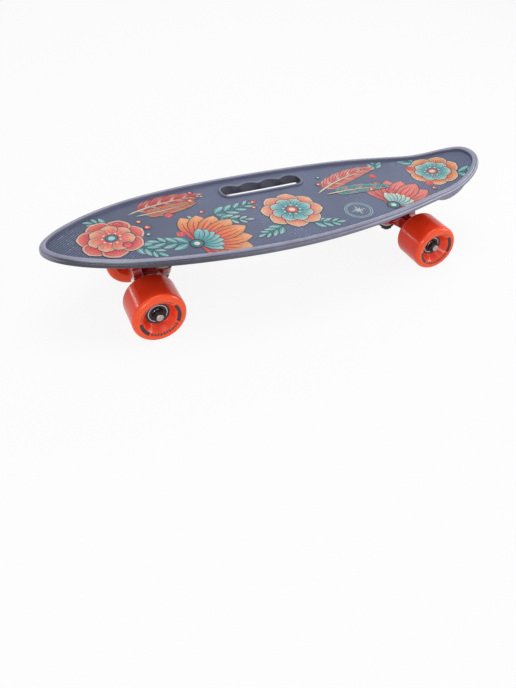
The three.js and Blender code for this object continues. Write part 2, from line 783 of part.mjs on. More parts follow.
function lowerBushing() {
  const bore = kingpinRadius + fitGap;
  const base = lowerBushingTop - lowerBushingHeight;
  return turned([[bore, base], [lowerBushingRadius, base], [lowerBushingRadius, lowerBushingTop],
    [bore, lowerBushingTop]], mediumSides);
}

function upperBushing() {
  const bore = kingpinRadius + fitGap;
  const top = upperBushingBase + upperBushingHeight;
  const middle = (upperBushingBase + top) / 2;
  return turned([[bore, upperBushingBase], [upperBushingRadius, upperBushingBase],
    [upperBushingRadius + upperBushingBulge, middle], [upperBushingRadius, top], [bore, top]], mediumSides);
}

function pivotCup() {
  const inner = pivotNoseRadius + fitGap;
  const floor = pivotMouth + pivotNoseLength + fitGap;
  const end = pivotMouth + pivotCupDepth;
  return turned([[inner, pivotMouth], [pivotCupRadius, pivotMouth], [pivotCupRadius, end], [0, end],
    [0, floor], [inner, floor]], mediumSides);
}

function axle() {
  const neck = axleRadius - axleChamfer;
  return turned([[0, -axleHalf], [neck, -axleHalf], [axleRadius, axleChamfer - axleHalf],
    [axleRadius, axleHalf - axleChamfer], [neck, axleHalf], [0, axleHalf]], smallSides, 'y');
}

// Wheels: each set is modelled about the wheel's middle, with +Y away from the truck

// Half of a wheel's section, from the tread round the lip and down the dish to the bearing seat
function wheelHalfOutline() {
  const half = wheelWidth / 2;
  const grow = flatsAt(wheelSides);
  const lip = lipRadius * Math.SQRT1_2;
  const rim = wheelRadius - lipRadius;
  return [
    [wheelRadius * grow, half - lipRadius],
    [(rim + lip) * grow, half - lipRadius + lip],
    [rim, half],
    [faceInnerRadius, half - faceDish],
    [recessFloorRadius, bearingFace],
    [bearingRadius + fitGap, bearingFace],
    [bearingRadius + fitGap, spacerLength / 2 - fitGap],
    [shoulderRadius, spacerLength / 2 - fitGap],
  ];
}

function wheel() {
  const half = wheelHalfOutline();
  const mirrored = half.map(([r, y]) => [r, -y]).reverse();
  return turned([...half, ...mirrored], wheelSides, 'y');
}

// A bearing's outer race, closed by its shields
function bearing() {
  const half = bearingWidth / 2;
  const inner = bearingInnerRadius + 2 * fitGap;
  return turned([[inner, -half], [bearingRadius, -half], [bearingRadius, half],
    [inner, half]], mediumSides, 'y');
}

// The inner races, the spacer between them and the speed washers, on the axle
function bearingSleeve() {
  const bore = axleRadius + fitGap;
  const mid = spacerLength / 2;
  const start = -sleeveEnd + seatGap;
  const washerStart = -bearingFace;
  return turned([[bore, start], [speedWasherRadius, start], [speedWasherRadius, washerStart],
    [bearingInnerRadius, washerStart], [bearingInnerRadius, -mid], [spacerRadius, -mid],
    [spacerRadius, mid], [bearingInnerRadius, mid], [bearingInnerRadius, bearingFace],
    [speedWasherRadius, bearingFace], [speedWasherRadius, sleeveEnd], [bore, sleeveEnd]], smallSides, 'y');
}

function axleNut() {
  const nut = geometryOf(hexNut(axleNutFlats, axleNutHeight, axleRadius + fitGap, sleeveEnd + seatGap));
  return nut.rotateX(-Math.PI / 2);
}

function wheelSet(name, side) {
  const group = new THREE.Group();
  group.position.set(axlePlace.x, side * wheelOffset, axlePlace.z);
  group.rotation.z = side < 0 ? Math.PI : 0;
  group.add(named(`${name}_wheel`, wheel(), materials.wheel));
  for (const [label, place] of [['inner', -1], ['outer', 1]]) {
    const race = named(`${name}_${label}_bearing`, bearing(), materials.steel);
    race.rotation.z = place < 0 ? Math.PI : 0;
    race.position.y = (place * (spacerLength + bearingWidth)) / 2;
    group.add(race);
  }
  group.add(named(`${name}_bearing_sleeve`, bearingSleeve(), materials.steel));
  group.add(named(`${name}_axle_nut`, axleNut(), materials.blackSteel));
  return group;
}

function kingpinStack(name) {
  const group = new THREE.Group();
  group.position.copy(ringPlace);
  group.rotation.y = kingpinTurn;
  const nutBase = kingpinNutTop - kingpinNutHeight;
  const nut = hexNut(kingpinHeadFlats, kingpinNutHeight, kingpinRadius + fitGap, nutBase);
  group.add(named(`${name}_kingpin`, kingpin(), materials.steel));
  group.add(named(`${name}_kingpin_nut`, nut, materials.blackSteel));
  const lowerWasher = cupWasher(lowerWasherTop - cupWasherThickness, 1, lowerWasherRadius);
  const upperWasher = cupWasher(upperWasherBase, -1, upperWasherRadius);
  group.add(named(`${name}_lower_cup_washer`, lowerWasher, materials.blackSteel));
  group.add(named(`${name}_upper_cup_washer`, upperWasher, materials.steel));
  group.add(named(`${name}_lower_bushing`, lowerBushing(), materials.bushing));
  group.add(named(`${name}_upper_bushing`, upperBushing(), materials.bushing));
  return group;
}

// A whole truck with its wheels: end is -1 at the nose and 1 at the tail
function truck(name, end) {
  const group = new THREE.Group();
  group.position.set((end * truckSpacing) / 2, 0, wheelRadius + truckHeight);
  group.rotation.z = end > 0 ? Math.PI : 0;
  group.add(named(`${name}_baseplate`, baseplate(), materials.truck));
  group.add(named(`${name}_hanger`, hanger(), materials.truck));
  const rod = named(`${name}_axle`, axle(), materials.steel);
  rod.position.copy(axlePlace);
  group.add(rod, kingpinStack(name));
  const cup = named(`${name}_pivot_cup`, pivotCup(), materials.cup);
  cup.position.copy(ringPlace);
  cup.rotation.y = steerTurn;
  group.add(cup);
  group.add(wheelSet(`${name}_left`, end));
  group.add(wheelSet(`${name}_right`, -end));
  return group;
}

function hardware() {
  const group = new THREE.Group();
  const nutBase = wheelRadius + truckHeight - baseThickness - seatGap - boltNutHeight;
  for (const place of boltPlaces()) {
    const screw = named(`${boltName(place)}_bolt`, bolt(place), materials.bolt);
    const nutShape = hexNut(boltNutFlats, boltNutHeight, boltRadius + fitGap, nutBase);
    const nut = named(`${boltName(place)}_nut`, nutShape, materials.blackSteel);
    screw.position.set(place.x, place.y, 0);
    nut.position.set(place.x, place.y, 0);
    group.add(screw, nut);
  }
  return group;
}

function skateboard() {
  const group = new THREE.Group();
  const body = named('deck', deck(), materials.deck);
  body.geometry.computeBoundingBox();
  const { min, max } = body.geometry.boundingBox;
  group.add(body, truck('front', -1), truck('rear', 1), hardware());
  group.position.x = -(min.x + max.x) / 2;
  return group;
}

const board = new THREE.Group();
board.add(skateboard());

export default board;
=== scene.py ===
import math

import bmesh
import bpy
from mathutils import Matrix, Vector


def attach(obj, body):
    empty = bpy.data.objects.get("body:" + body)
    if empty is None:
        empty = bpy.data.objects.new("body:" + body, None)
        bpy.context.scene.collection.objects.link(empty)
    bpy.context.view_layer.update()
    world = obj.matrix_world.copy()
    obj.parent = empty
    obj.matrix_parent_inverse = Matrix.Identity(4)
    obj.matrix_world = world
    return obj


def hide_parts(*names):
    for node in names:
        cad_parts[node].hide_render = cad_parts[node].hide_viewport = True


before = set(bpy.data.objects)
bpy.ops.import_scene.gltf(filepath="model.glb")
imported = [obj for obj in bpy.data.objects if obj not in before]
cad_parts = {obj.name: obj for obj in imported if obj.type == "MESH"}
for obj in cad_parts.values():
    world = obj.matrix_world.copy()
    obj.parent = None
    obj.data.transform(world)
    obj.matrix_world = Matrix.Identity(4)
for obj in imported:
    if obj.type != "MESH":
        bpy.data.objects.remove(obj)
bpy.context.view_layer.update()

scene = bpy.context.scene
MM = 0.001

# Sizes from the part's source, in millimetres
SHIFT = 1.909
TRUCK_X = 335.6 / 2
NOSE, TAIL = TRUCK_X + 116.1, TRUCK_X + 115.7
WIDTH = 167.0
SHARES = [0.92, 0.97, 1.03, 1.02, 1, 0.96, 0.91, 1.04, 1.27]
PLATE, SAG, KICK_RADIUS = 4.0, 2.9, 143.0
KICK = TRUCK_X + 31.7
PAD_TOP = 82.1
DECK_TOP = PAD_TOP + 11.4
RIB_DEPTH, RIB_WALL = 11.0, 3.0
SLOT_MIDDLE, SLOT_LENGTH, SLOT_NEAR, SLOT_FAR, SLOT_FLOOR = -8.0, 106.4, 38.4, 62.0, 55.4
SLOT_CORNER, SCALLOPS, SCALLOP_PITCH, SCALLOP_RADIUS, CUSP = 9.0, 4, 28.0, 17.0, 7.0
BOLT_X, BOLT_Y = 58.5, 42.5
PLATE_LONG, PLATE_WIDE = BOLT_X + 2 * 11.75, BOLT_Y + 2 * 6.25
WHEEL_Y = 54.25
AXLE_X, AXLE_Z = -12.8, -52.0
MIDDLE, HALF = (TAIL - NOSE) / 2, (TAIL + NOSE) / 2
STATIONS, COLUMNS = 168, 14
RIB_INSET, RIB_NOSE, RIB_PITCH, RIB_ROWS = 16, 33.9, 50, 4
SKID_LENGTH, SKID_MARGIN, SKID_INSET, SKID_DEPTH = 58, 39.5, 2.5, 10.5
LIP_WIDTH, WALL_LOW = 3.2, -6.8


# Materials

class Graph:
    """A material whose nodes are made by short calls."""

    def __init__(self, name, colour, roughness, metallic=0.0, **fixed):
        self.material = bpy.data.materials.new(name)
        self.material.use_nodes = True
        self.material.diffuse_color = (*colour, 1)
        self.tree = self.material.node_tree
        self.shader = self.tree.nodes["Principled BSDF"]
        self.shader.inputs["Metallic"].default_value = metallic
        self.colour, self.roughness = colour, roughness
        for key, value in fixed.items():
            self.shader.inputs[key.replace("_", " ")].default_value = value
        self.place = self.add("ShaderNodeTexCoord").outputs["Object"]

    def add(self, kind, inputs=None, **settings):
        node = self.tree.nodes.new(kind)
        for key, value in settings.items():
            setattr(node, key, value)
        for key, value in (inputs or {}).items():
            if isinstance(value, bpy.types.NodeSocket):
                self.tree.links.new(value, node.inputs[key])
            else:
                node.inputs[key].default_value = value
        return node

    def noise(self, scale, detail=3.0, stretch=(1, 1, 1), rough=0.55):
        place = self.add("ShaderNodeMapping", {"Vector": self.place, "Scale": stretch}).outputs[0]
        sizes = {"Vector": place, "Scale": scale, "Detail": detail, "Roughness": rough}
        return self.add("ShaderNodeTexNoise", sizes).outputs["Fac"]

    def steps(self, value, low, high, first=0.0, last=1.0):
        sizes = {"Value": value, "From Min": low, "From Max": high, "To Min": first, "To Max": last}
        return self.add("ShaderNodeMapRange", sizes, interpolation_type="SMOOTHSTEP").outputs[0]

    def math(self, operation, a, b=0.0):
        return self.add("ShaderNodeMath", {0: a, 1: b}, operation=operation).outputs[0]

    def mix(self, share, a, b):
        colour = [(*c, 1) if isinstance(c, (tuple, list)) else c for c in (a, b)]
        node = self.add("ShaderNodeMix", {0: share, 6: colour[0], 7: colour[1]}, data_type="RGBA")
        return node.outputs[2]

    def edges(self, low=0.52, high=0.6):
        return self.steps(self.add("ShaderNodeNewGeometry").outputs["Pointiness"], low, high)

    def bumps(self, *layers):
        """Layers of (height, depth in metres), laid over one another."""
        normal = None
        for height, depth in layers:
            sizes = {"Height": height, "Distance": depth, "Strength": 1.0}
            if normal is not None:
                sizes["Normal"] = normal
            normal = self.add("ShaderNodeBump", sizes).outputs[0]
        self.tree.links.new(normal, self.shader.inputs["Normal"])

    def finish(self, colour, roughness):
        self.tree.links.new(colour, self.shader.inputs["Base Color"])
        self.tree.links.new(roughness, self.shader.inputs["Roughness"])
        return self.material


def shade(colour, factor):
    return tuple(min(c * factor, 1) for c in colour)


def surface(name, colour, roughness, metallic=0.0, *, patch=60, spread=0.08, grain=2500,
            depth=0.00002, wear_and_highlight_tone=None, wear_and_highlight_amount=0.5, painted_light_fades=(), **fixed):
    """A moulded, painted or machined surface: patches of tone, fine grain, and lighter edges, partly rubbed and
    partly a painted highlight.

    Each of painted_light_fades (from X, to X, first, last) scales the tone along the object: painted light and
    shade, lighter where light falls from one side."""
    g = Graph(name, colour, roughness, metallic, **fixed)
    tone = g.steps(g.noise(patch, 4), 0.3, 0.7)
    fine = g.noise(grain, 4)
    base = g.mix(tone, shade(colour, 1 - spread), shade(colour, 1 + spread))
    rough = g.steps(g.noise(patch * 3, 5), 0.3, 0.7, roughness * 0.85, roughness * 1.2)
    # lighter pointy edges: rubbing, and on the deck's rim a painted highlight
    wear_and_highlight = g.math("MULTIPLY", g.edges(), g.steps(g.noise(420, 5), 0.45, 0.6, 0.0, wear_and_highlight_amount))
    base = g.mix(wear_and_highlight, base, wear_and_highlight_tone or shade(colour, 1.35))
    # painted light and shade: the tone scaled along X
    for painted_light_fade in painted_light_fades:
        along = g.add("ShaderNodeSeparateXYZ", {0: g.place}).outputs[0]
        scale = {0: base, "Scale": g.steps(along, *painted_light_fade)}
        base = g.add("ShaderNodeVectorMath", scale, operation="SCALE").outputs[0]
    rough = g.math("ADD", rough, g.math("MULTIPLY", wear_and_highlight, 0.12))
    g.bumps((g.noise(patch * 2, 2), depth * 4), (fine, depth))
    return g.finish(base, rough)


def grip_layers(g):
    """Raised diagonal lines of the anti-slip top, as a mask: 1 on the lines and 0 between them."""
    turned_place = g.add("ShaderNodeMapping", {"Vector": g.place, "Rotation": (0, 0, GRIP_TURN)}).outputs[0]
    across = g.add("ShaderNodeSeparateXYZ", {0: turned_place}).outputs[0]
    phase = g.math("FRACT", g.math("MULTIPLY", across, 1 / (GRIP_PITCH * MM)))
    return g.steps(g.math("ABSOLUTE", g.math("SUBTRACT", phase, 0.5)), 0.12, 0.36, 1.0, 0.0)


GRIP_PITCH = 2.9
GRIP_TURN = math.radians(50)


def grip_surface(name, colour, roughness):
    g = Graph(name, colour, roughness, Specular_IOR_Level=0.2)
    line = grip_layers(g)
    tone = g.steps(g.noise(18, 5), 0.3, 0.7)
    base = g.mix(tone, shade(colour, 0.96), shade(colour, 1.14))
    along = g.add("ShaderNodeSeparateXYZ", {0: g.place}).outputs[0]
    # painted shade in the grooves between the raised lines, strongest towards the nose and faint towards the
    # tail
    faint = g.steps(along, -0.22, -0.05, 0.66, 0.14)
    painted_groove_shade = g.math("MULTIPLY", g.math("SUBTRACT", 1.0, line), faint)
    base = g.mix(painted_groove_shade, base, shade(colour, 0.3))
    # painted glints: bright specks on the raised lines, in patches
    painted_glint = g.math("MULTIPLY", g.steps(g.noise(700, 2), 0.58, 0.66), g.steps(g.noise(22, 3), 0.46, 0.66))
    base = g.mix(g.math("MULTIPLY", painted_glint, g.math("MULTIPLY", line, 0.8)), base, shade(colour, 3.4))
    rough = g.steps(line, 0, 1, roughness * 1.1, roughness * 0.75)
    g.bumps((line, 0.00009), (g.noise(1500, 4), 0.00004))
    return g.finish(base, rough)


def ink_surface(name):
    """Print on the anti-slip top: its colour is stored on the points, with painted shade in the grooves between
    the lines.
    """
    g = Graph(name, (0.6, 0.2, 0.1), 0.42, Specular_IOR_Level=0.25)
    ink = g.add("ShaderNodeVertexColor", layer_name="ink").outputs[0]
    line = grip_layers(g)
    tone = g.steps(g.noise(300, 4), 0.3, 0.7, 0.0, 0.2)
    base = g.mix(tone, ink, (0.10, 0.09, 0.12))
    # painted shade in the grooves between the raised lines
    base = g.mix(g.math("MULTIPLY", g.steps(line, 0, 0.6, 1.0, 0.0), 0.15), base, (0.03, 0.03, 0.05))
    base = g.mix(g.math("MULTIPLY", g.steps(g.noise(700, 3), 0.58, 0.68), 0.35), base, DECK)
    rough = g.steps(line, 0, 1, 0.5, 0.36)
    g.bumps((line, 0.00006), (g.noise(1500, 4), 0.00003))
    return g.finish(base, rough)


def urethane_surface(name, colour):
    """Cast urethane: clear gloss, faint turning rings and slight tone changes in depth, with a painted
    highlight of lighter orange on the rounded tread edges.
    """
    g = Graph(name, colour, 0.14, IOR=1.5, Specular_IOR_Level=0.32, Subsurface_Weight=0.12,
              Subsurface_Scale=0.004)
    g.shader.inputs["Subsurface Radius"].default_value = (1.0, 0.25, 0.08)
    tone = g.steps(g.noise(45, 3), 0.3, 0.7)
    base = g.mix(tone, shade(colour, 0.93), shade(colour, 1.05))
    across = g.math("ABSOLUTE", g.add("ShaderNodeSeparateXYZ", {0: g.place}).outputs[1])
    # painted highlight: the rounded tread edges drawn a lighter orange
    lip_highlight = g.math("ABSOLUTE", g.math("SUBTRACT", across, WHEEL_Y * MM))
    base = g.mix(g.steps(lip_highlight, 0.0165, 0.0215), base, LIP_HIGHLIGHT_ORANGE)
    base = g.mix(g.math("MULTIPLY", g.edges(0.505, 0.56), 0.4), base, (1.0, 0.16, 0.04))
    rough = g.steps(g.noise(160, 5, (1, 4, 1)), 0.3, 0.75, 0.12, 0.24)
    g.bumps((g.noise(90, 2), 0.00005), (g.noise(1400, 3, (1, 8, 1)), 0.000008))
    return g.finish(base, rough)


DECK = (0.118, 0.138, 0.222)
RED = (0.38, 0.007, 0.011)
ORANGE = (0.93, 0.048, 0.012)
# lighter orange for the painted highlight on the rounded tread edges
LIP_HIGHLIGHT_ORANGE = (0.97, 0.092, 0.018)
MATERIALS = {
    "grip": grip_surface("grip", DECK, 0.5),
    # rim: the deck's plastic drawn darker on the rim's sides as painted shade, scaled along X as painted light:
    # lighter at the nose tip and towards the tail
    "rim": surface("rim", (0.105, 0.107, 0.158), 0.32, patch=30, grain=3200, depth=0.000012,
                   wear_and_highlight_tone=(0.2, 0.2, 0.27), wear_and_highlight_amount=0.6,
                   painted_light_fades=((-0.281, -0.262, 1.9, 0.45), (-0.17, -0.02, 1.0, 2.8), (-0.03, 0.1, 1.0, 1.3))),
    # edge: the rim's outer band, with a painted highlight at the nose tip that grows towards the tail
    "edge": surface("edge", (0.108, 0.107, 0.135), 0.28, patch=30, grain=3200, depth=0.000012,
                    wear_and_highlight_tone=(0.16, 0.16, 0.2), wear_and_highlight_amount=0.3,
                    painted_light_fades=((-0.281, -0.255, 2.4, 0.5), (-0.17, 0.0, 1.0, 3.6), (0.0, 0.1, 1.0, 1.9))),
    "inner": surface("inner", (0.125, 0.13, 0.195), 0.4, patch=30, grain=3000, depth=0.000014,
                     wear_and_highlight_tone=(0.2, 0.2, 0.27), wear_and_highlight_amount=0.6),
    # crest: the deck's plastic drawn lighter on the rim's top, a painted highlight
    "crest": surface("crest", (0.262, 0.267, 0.37), 0.26, patch=30, grain=3200, depth=0.000012,
                     wear_and_highlight_tone=(0.4, 0.4, 0.48), wear_and_highlight_amount=0.6),
    # wall: the handle slot's inner wall drawn near-black, painted shade
    "wall": surface("wall", (0.045, 0.046, 0.07), 0.5, patch=80, spread=0.3, grain=1800, depth=0.00002,
                    Specular_IOR_Level=0.3),
    "ink": ink_surface("ink"),
    "urethane": urethane_surface("urethane", ORANGE),
    "mark": surface("mark", (0.035, 0.012, 0.02), 0.4, patch=500, spread=0.3, grain=2600),
    "paint": surface("paint", RED, 0.2, patch=90, spread=0.15, grain=900, depth=0.00009,
                     wear_and_highlight_tone=(0.55, 0.2, 0.19), wear_and_highlight_amount=0.35, Specular_IOR_Level=0.5, Coat_Weight=1.0,
                     Coat_Roughness=0.05),
    "steel": surface("steel", (0.56, 0.56, 0.58), 0.26, 1.0, patch=200, grain=4200, depth=0.000006,
                     wear_and_highlight_tone=(0.75, 0.75, 0.76)),
    # axle steel tinted red and darkened: a painted reflection of the red and orange parts round it
    "axle_steel_red_reflection": surface("axle_steel_red_reflection", (0.40, 0.34, 0.33), 0.34, 1.0, patch=200, grain=4200,
                          depth=0.000006, wear_and_highlight_tone=(0.6, 0.52, 0.5)),
    "black_steel": surface("black_steel", (0.02, 0.019, 0.021), 0.34, 0.7, patch=200, grain=4000,
                           depth=0.000008, wear_and_highlight_tone=(0.16, 0.15, 0.15)),
    "shield": surface("shield", (0.012, 0.011, 0.013), 0.38, patch=300, grain=4000, depth=0.000008),
    "bushing": surface("bushing", (0.8, 0.7, 0.6), 0.34, patch=120, spread=0.06, grain=2400,
                       depth=0.00001, wear_and_highlight_tone=(0.9, 0.84, 0.76), Subsurface_Weight=0.08),
    "cup": surface("cup", (0.02, 0.02, 0.022), 0.6, patch=150, grain=2400),
    "bolt": surface("bolt", (0.56, 0.014, 0.02), 0.36, patch=300, spread=0.15, grain=3600,
                    depth=0.00001, wear_and_highlight_tone=(0.8, 0.3, 0.3), wear_and_highlight_amount=0.7, Specular_IOR_Level=0.35),
    # the bolt's drive recess drawn reddish-black: painted shade
    "shaded_socket": surface("shaded_socket", (0.02, 0.003, 0.005), 0.6, patch=300, grain=3000, Specular_IOR_Level=0.2),
    "nylon": surface("nylon", (0.5, 0.5, 0.48), 0.45, patch=300, grain=2600, spread=0.05),
}


# Mesh code: shapes are built in millimetres, and turned to metres at the end

def sweep(bm, rings, material=0, loop=False, cut=False):
    """Quads between rings of points with equal counts; cut leaves each ring open."""
    rows = [[bm.verts.new(p) for p in ring] for ring in rings]
    count = len(rows[0])
    for k in range(len(rows) if loop else len(rows) - 1):
        first, second = rows[k], rows[(k + 1) % len(rows)]
        for i in range(count - 1 if cut else count):
            j = (i + 1) % count
            face = bm.faces.new((first[i], first[j], second[j], second[i]))
            face.material_index = material
    return rows


def circle(radius, height, sides=64, phase=0.5):
    found = []
    for i in range(sides):
        angle = 2 * math.pi * (i + phase) / sides
        r = radius(angle) if callable(radius) else radius
        z = height(angle) if callable(height) else height
        found.append(Vector((r * math.cos(angle), r * math.sin(angle), z)))
    return found


def turned(bm, profile, sides=64, material=0, loop=False):
    return sweep(bm, [circle(r, z, sides) for r, z in profile], material, loop)


def mesh_from(bm, name, matrix=None, angle=35):
    bmesh.ops.remove_doubles(bm, verts=bm.verts, dist=1e-4)
    bmesh.ops.dissolve_degenerate(bm, edges=bm.edges, dist=1e-4)
    bmesh.ops.recalc_face_normals(bm, faces=bm.faces)
    place = Matrix.Diagonal((MM, MM, MM, 1)) @ (matrix or Matrix.Identity(4))
    bm.transform(place)
    mesh = bpy.data.meshes.new(name)
    bm.to_mesh(mesh)
    bm.free()
    smooth(mesh, angle)
    return mesh


def smooth(mesh, angle=35):
    mesh.polygons.foreach_set("use_smooth", [True] * len(mesh.polygons))
    mesh.set_sharp_from_angle(angle=math.radians(angle))


def piece(name, mesh, body, materials, nodes=()):
    obj = bpy.data.objects.new(name, mesh)
    scene.collection.objects.link(obj)
    indices = [0] * len(mesh.polygons)
    mesh.polygons.foreach_get("material_index", indices)
    mesh.materials.clear()
    for material in materials:
        mesh.materials.append(MATERIALS[material])
    mesh.polygons.foreach_set("material_index", [i % len(materials) for i in indices])
    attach(obj, body)
    if nodes:
        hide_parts(*nodes)
    return obj


def settled(obj):
    """The object's mesh with its modifiers applied."""
    graph = bpy.context.evaluated_depsgraph_get()
    mesh = bpy.data.meshes.new_from_object(obj.evaluated_get(graph))
    obj.modifiers.clear()
    obj.data = mesh
    return mesh


def helper(name, bm):
    """A closed solid in millimetres, for joining and cutting."""
    bmesh.ops.remove_doubles(bm, verts=bm.verts, dist=1e-4)
    bmesh.ops.recalc_face_normals(bm, faces=bm.faces)
    mesh = bpy.data.meshes.new(name)
    bm.to_mesh(mesh)
    bm.free()
    obj = bpy.data.objects.new(name, mesh)
    scene.collection.objects.link(obj)
    return obj


def combine(obj, tools, operation):
    for tool in tools:
        modifier = obj.modifiers.new("combine", "BOOLEAN")
        modifier.operation, modifier.solver, modifier.object = operation, "MANIFOLD", tool
        bpy.context.view_layer.update()
        settled(obj)
        bpy.data.objects.remove(tool)
    return obj


# Deck: the same surface as in the part's source, with finer steps, a rounder section
# and a rim 0.9 mm taller, as the photograph shows it

def share_at(t):
    p = (len(SHARES) - 1) * t
    i = min(int(p), len(SHARES) - 2)
    w = p - i
    a, b, c, d = (SHARES[min(max(k, 0), len(SHARES) - 1)] for k in (i - 1, i, i + 1, i + 2))
    v0, v1 = (c - a) / 2, (d - b) / 2
    return (2 * b - 2 * c + v0 + v1) * w**3 + (-3 * b + 3 * c - 2 * v0 - v1) * w**2 + v0 * w + b


def outline_point(angle):
    end = math.cos(math.pi / 2 / STATIONS)
    return (MIDDLE - HALF * math.cos(angle) / end,
            0.9995 * WIDTH / 2 * share_at(angle / math.pi) * math.sin(angle))


def inset_point(station, inset):
    angle = math.pi * (station + 0.5) / STATIONS
    nudge = 0.003
    (x0, y0), (x1, y1) = outline_point(angle - nudge), outline_point(angle + nudge)
    length = math.hypot(x1 - x0, y1 - y0)
    x, y = outline_point(angle)
    return x + (y1 - y0) / length * inset, y - (x1 - x0) / length * inset


def half_width(u, inset):
    angle = math.acos(max(-0.9999, min(0.9999, (MIDDLE - u) / HALF)))
    (x0, y0), (x1, y1) = outline_point(angle - 0.003), outline_point(angle + 0.003)
    slope = (y1 - y0) / (x1 - x0)
    return outline_point(angle)[1] - inset * math.hypot(1, slope)


def deck_point(u, y, height):
    if u <= KICK:
        dip = SAG * math.cos(math.pi * u / (2 * KICK)) ** 2 if abs(u) <= KICK else 0
        return Vector((u + SHIFT, y, DECK_TOP - dip + height))
    angle = (u - KICK) / KICK_RADIUS
    reach = KICK_RADIUS - height
    return Vector((KICK + reach * math.sin(angle) + SHIFT, y,
                   DECK_TOP + KICK_RADIUS - reach * math.cos(angle)))


def across(u, near, far, height, columns):
    return [deck_point(u, near + (far - near) * k / columns, height) for k in range(columns + 1)]


def deck_block(rows, top, bottom, columns=8):
    """A closed block between two heights over rows of [u, near, far]."""
    bm = bmesh.new()
    sections = [across(*row, top, columns) + across(*row, bottom, columns)[::-1] for row in rows]
    sweep(bm, sections)
    for section in (sections[0], sections[-1]):
        count = columns + 1
        for k in range(columns):
            quad = (section[k], section[k + 1], section[2 * count - 2 - k], section[2 * count - 1 - k])
            bm.faces.new([bm.verts.new(p) for p in quad])
    return bm


def closed(bm, rows):
    """Caps the first and last ring of a sweep whose far side runs back along its near side."""
    for row in (rows[0], rows[-1]):
        count = len(row) // 2
        for i in range(count - 1):
            bm.faces.new((row[i], row[i + 1], row[2 * count - 2 - i], row[2 * count - 1 - i]))


def evenly(a, b, steps):
    return [a + (b - a) * i / steps for i in range(steps + 1)] if steps else []


DECK_MATERIALS = ["rim", "grip", "wall", "crest", "inner", "edge"]
GRIP_INDEX, SHADED_WALL_INDEX, HIGHLIGHT_CREST_INDEX, INNER_INDEX, EDGE_INDEX = range(1, 6)
BANDS = (0, 8, INNER_INDEX), (8, 15, HIGHLIGHT_CREST_INDEX), (18, 24, EDGE_INDEX)
RIM_FALL, RIM_LEDGE = 0.17, 1.7
RIM = [(8.6, 0), (8.45, -0.1), (8.2, -0.3), (7.95, -0.3), (7.8, 0.1), (7.7, 0.8), (7.55, 2.0), (7.3, 3.1),
       (6.9, 3.9), (6.3, 4.35), (5.5, 4.5), (4.6, 4.5), (3.8, 4.38), (3.2, 4.1), (2.8, 3.6), (2.45, 2.8),
       (2.2, 2.1), (1.95, 1.65), (1.65, 1.5), (1.3, 1.58), (0.95, 1.68), (0.6, 1.6), (0.3, 1.3), (0.14, 0.9),
       (0.08, 0.3), (0.08, -0.8), (0.14, -2.0), (0.24, -2.7), (0.56, -3.2), (1.15, -3.7), (2.0, -4.0)]


def rim_point(u, y, height):
    """The rim stands a little lower towards the end of the kicked tail."""
    share = min(max((u - KICK) / (TAIL - KICK), 0), 1)
    return deck_point(u, y, height * (1 - RIM_FALL * share) if height > RIM_LEDGE else height)


def shell():
    bm = bmesh.new()
    loops = []
    for inset, height in RIM:
        points = [inset_point(i, inset) for i in range(STATIONS)]
        near = [rim_point(x, -y, height) for x, y in points]
        far = [rim_point(x, y, height) for x, y in points]
        nose, tail = ([rim_point(x, -y + 2 * y * k / COLUMNS, height) for k in range(1, COLUMNS)]
                      for x, y in (points[0], points[-1]))
        loops.append(near + tail + far[::-1] + nose[::-1])
    sweep(bm, loops)
    bm.faces.ensure_lookup_table()
    count = len(loops[0])
    for first, last, material in BANDS:
        for face in bm.faces[first * count:last * count]:
            face.material_index = material
    for inset, height in (RIM[0], RIM[-1]):
        points = [inset_point(i, inset) for i in range(STATIONS)]
        sweep(bm, [across(x, -y, y, height, COLUMNS) for x, y in points], cut=True)
    return helper("shell", bm)


def ribs():
    nose, tail, half = -(NOSE - RIB_NOSE), KICK, RIB_WALL / 2
    rows = lambda inset, a, b: [[u, -half_width(u, inset), half_width(u, inset)]
                                for u in evenly(a, b, 36)]
    block = helper("ribs", deck_block(rows(RIB_INSET, nose, tail), -PLATE / 2, -RIB_DEPTH))
    a, b = nose + RIB_WALL, tail - RIB_WALL
    room = helper("room", deck_block(rows(RIB_INSET + RIB_WALL, a, b), 0, -16))
    columns = round((b - a) / RIB_PITCH)
    us, ys = evenly(a - half, b + half, columns), evenly(-WIDTH / 2, WIDTH / 2, RIB_ROWS)
    bm = bmesh.new()
    for i in range(columns):
        for k in range(RIB_ROWS):
            spots = [[u, ys[k] + half, ys[k + 1] - half]
                     for u in evenly(us[i] + half, us[i + 1] - half, 6)]
            other = deck_block(spots, -1.5, -15, columns=3)
            mesh = bpy.data.meshes.new("pocket")
            other.to_mesh(mesh)
            other.free()
            bm.from_mesh(mesh)
            bpy.data.meshes.remove(mesh)
    pockets = helper("pockets", bm)
    combine(room, [pockets], "INTERSECT")
    return combine(block, [room], "DIFFERENCE")


def rounded(length, width, corner, steps=8):
    found = []
    for k, (sx, sy) in enumerate(((1, 1), (-1, 1), (-1, -1), (1, -1))):
        for i in range(steps + 1):
            angle = math.pi / 2 * (k + i / steps)
            found.append(((length / 2 - corner) * sx + corner * math.cos(angle),
                          (width / 2 - corner) * sy + corner * math.sin(angle)))
    return found


def pad(centre, low, high):
    bm = bmesh.new()
    shape = rounded(PLATE_LONG + 6, PLATE_WIDE + 6, 8)
    rings = [[Vector((x + centre + SHIFT, y, z)) for x, y in shape] for z in (low, high)]
    rows = sweep(bm, rings)
    bm.faces.new(rows[0])
    bm.faces.new(rows[1])
    return helper("pad", bm)


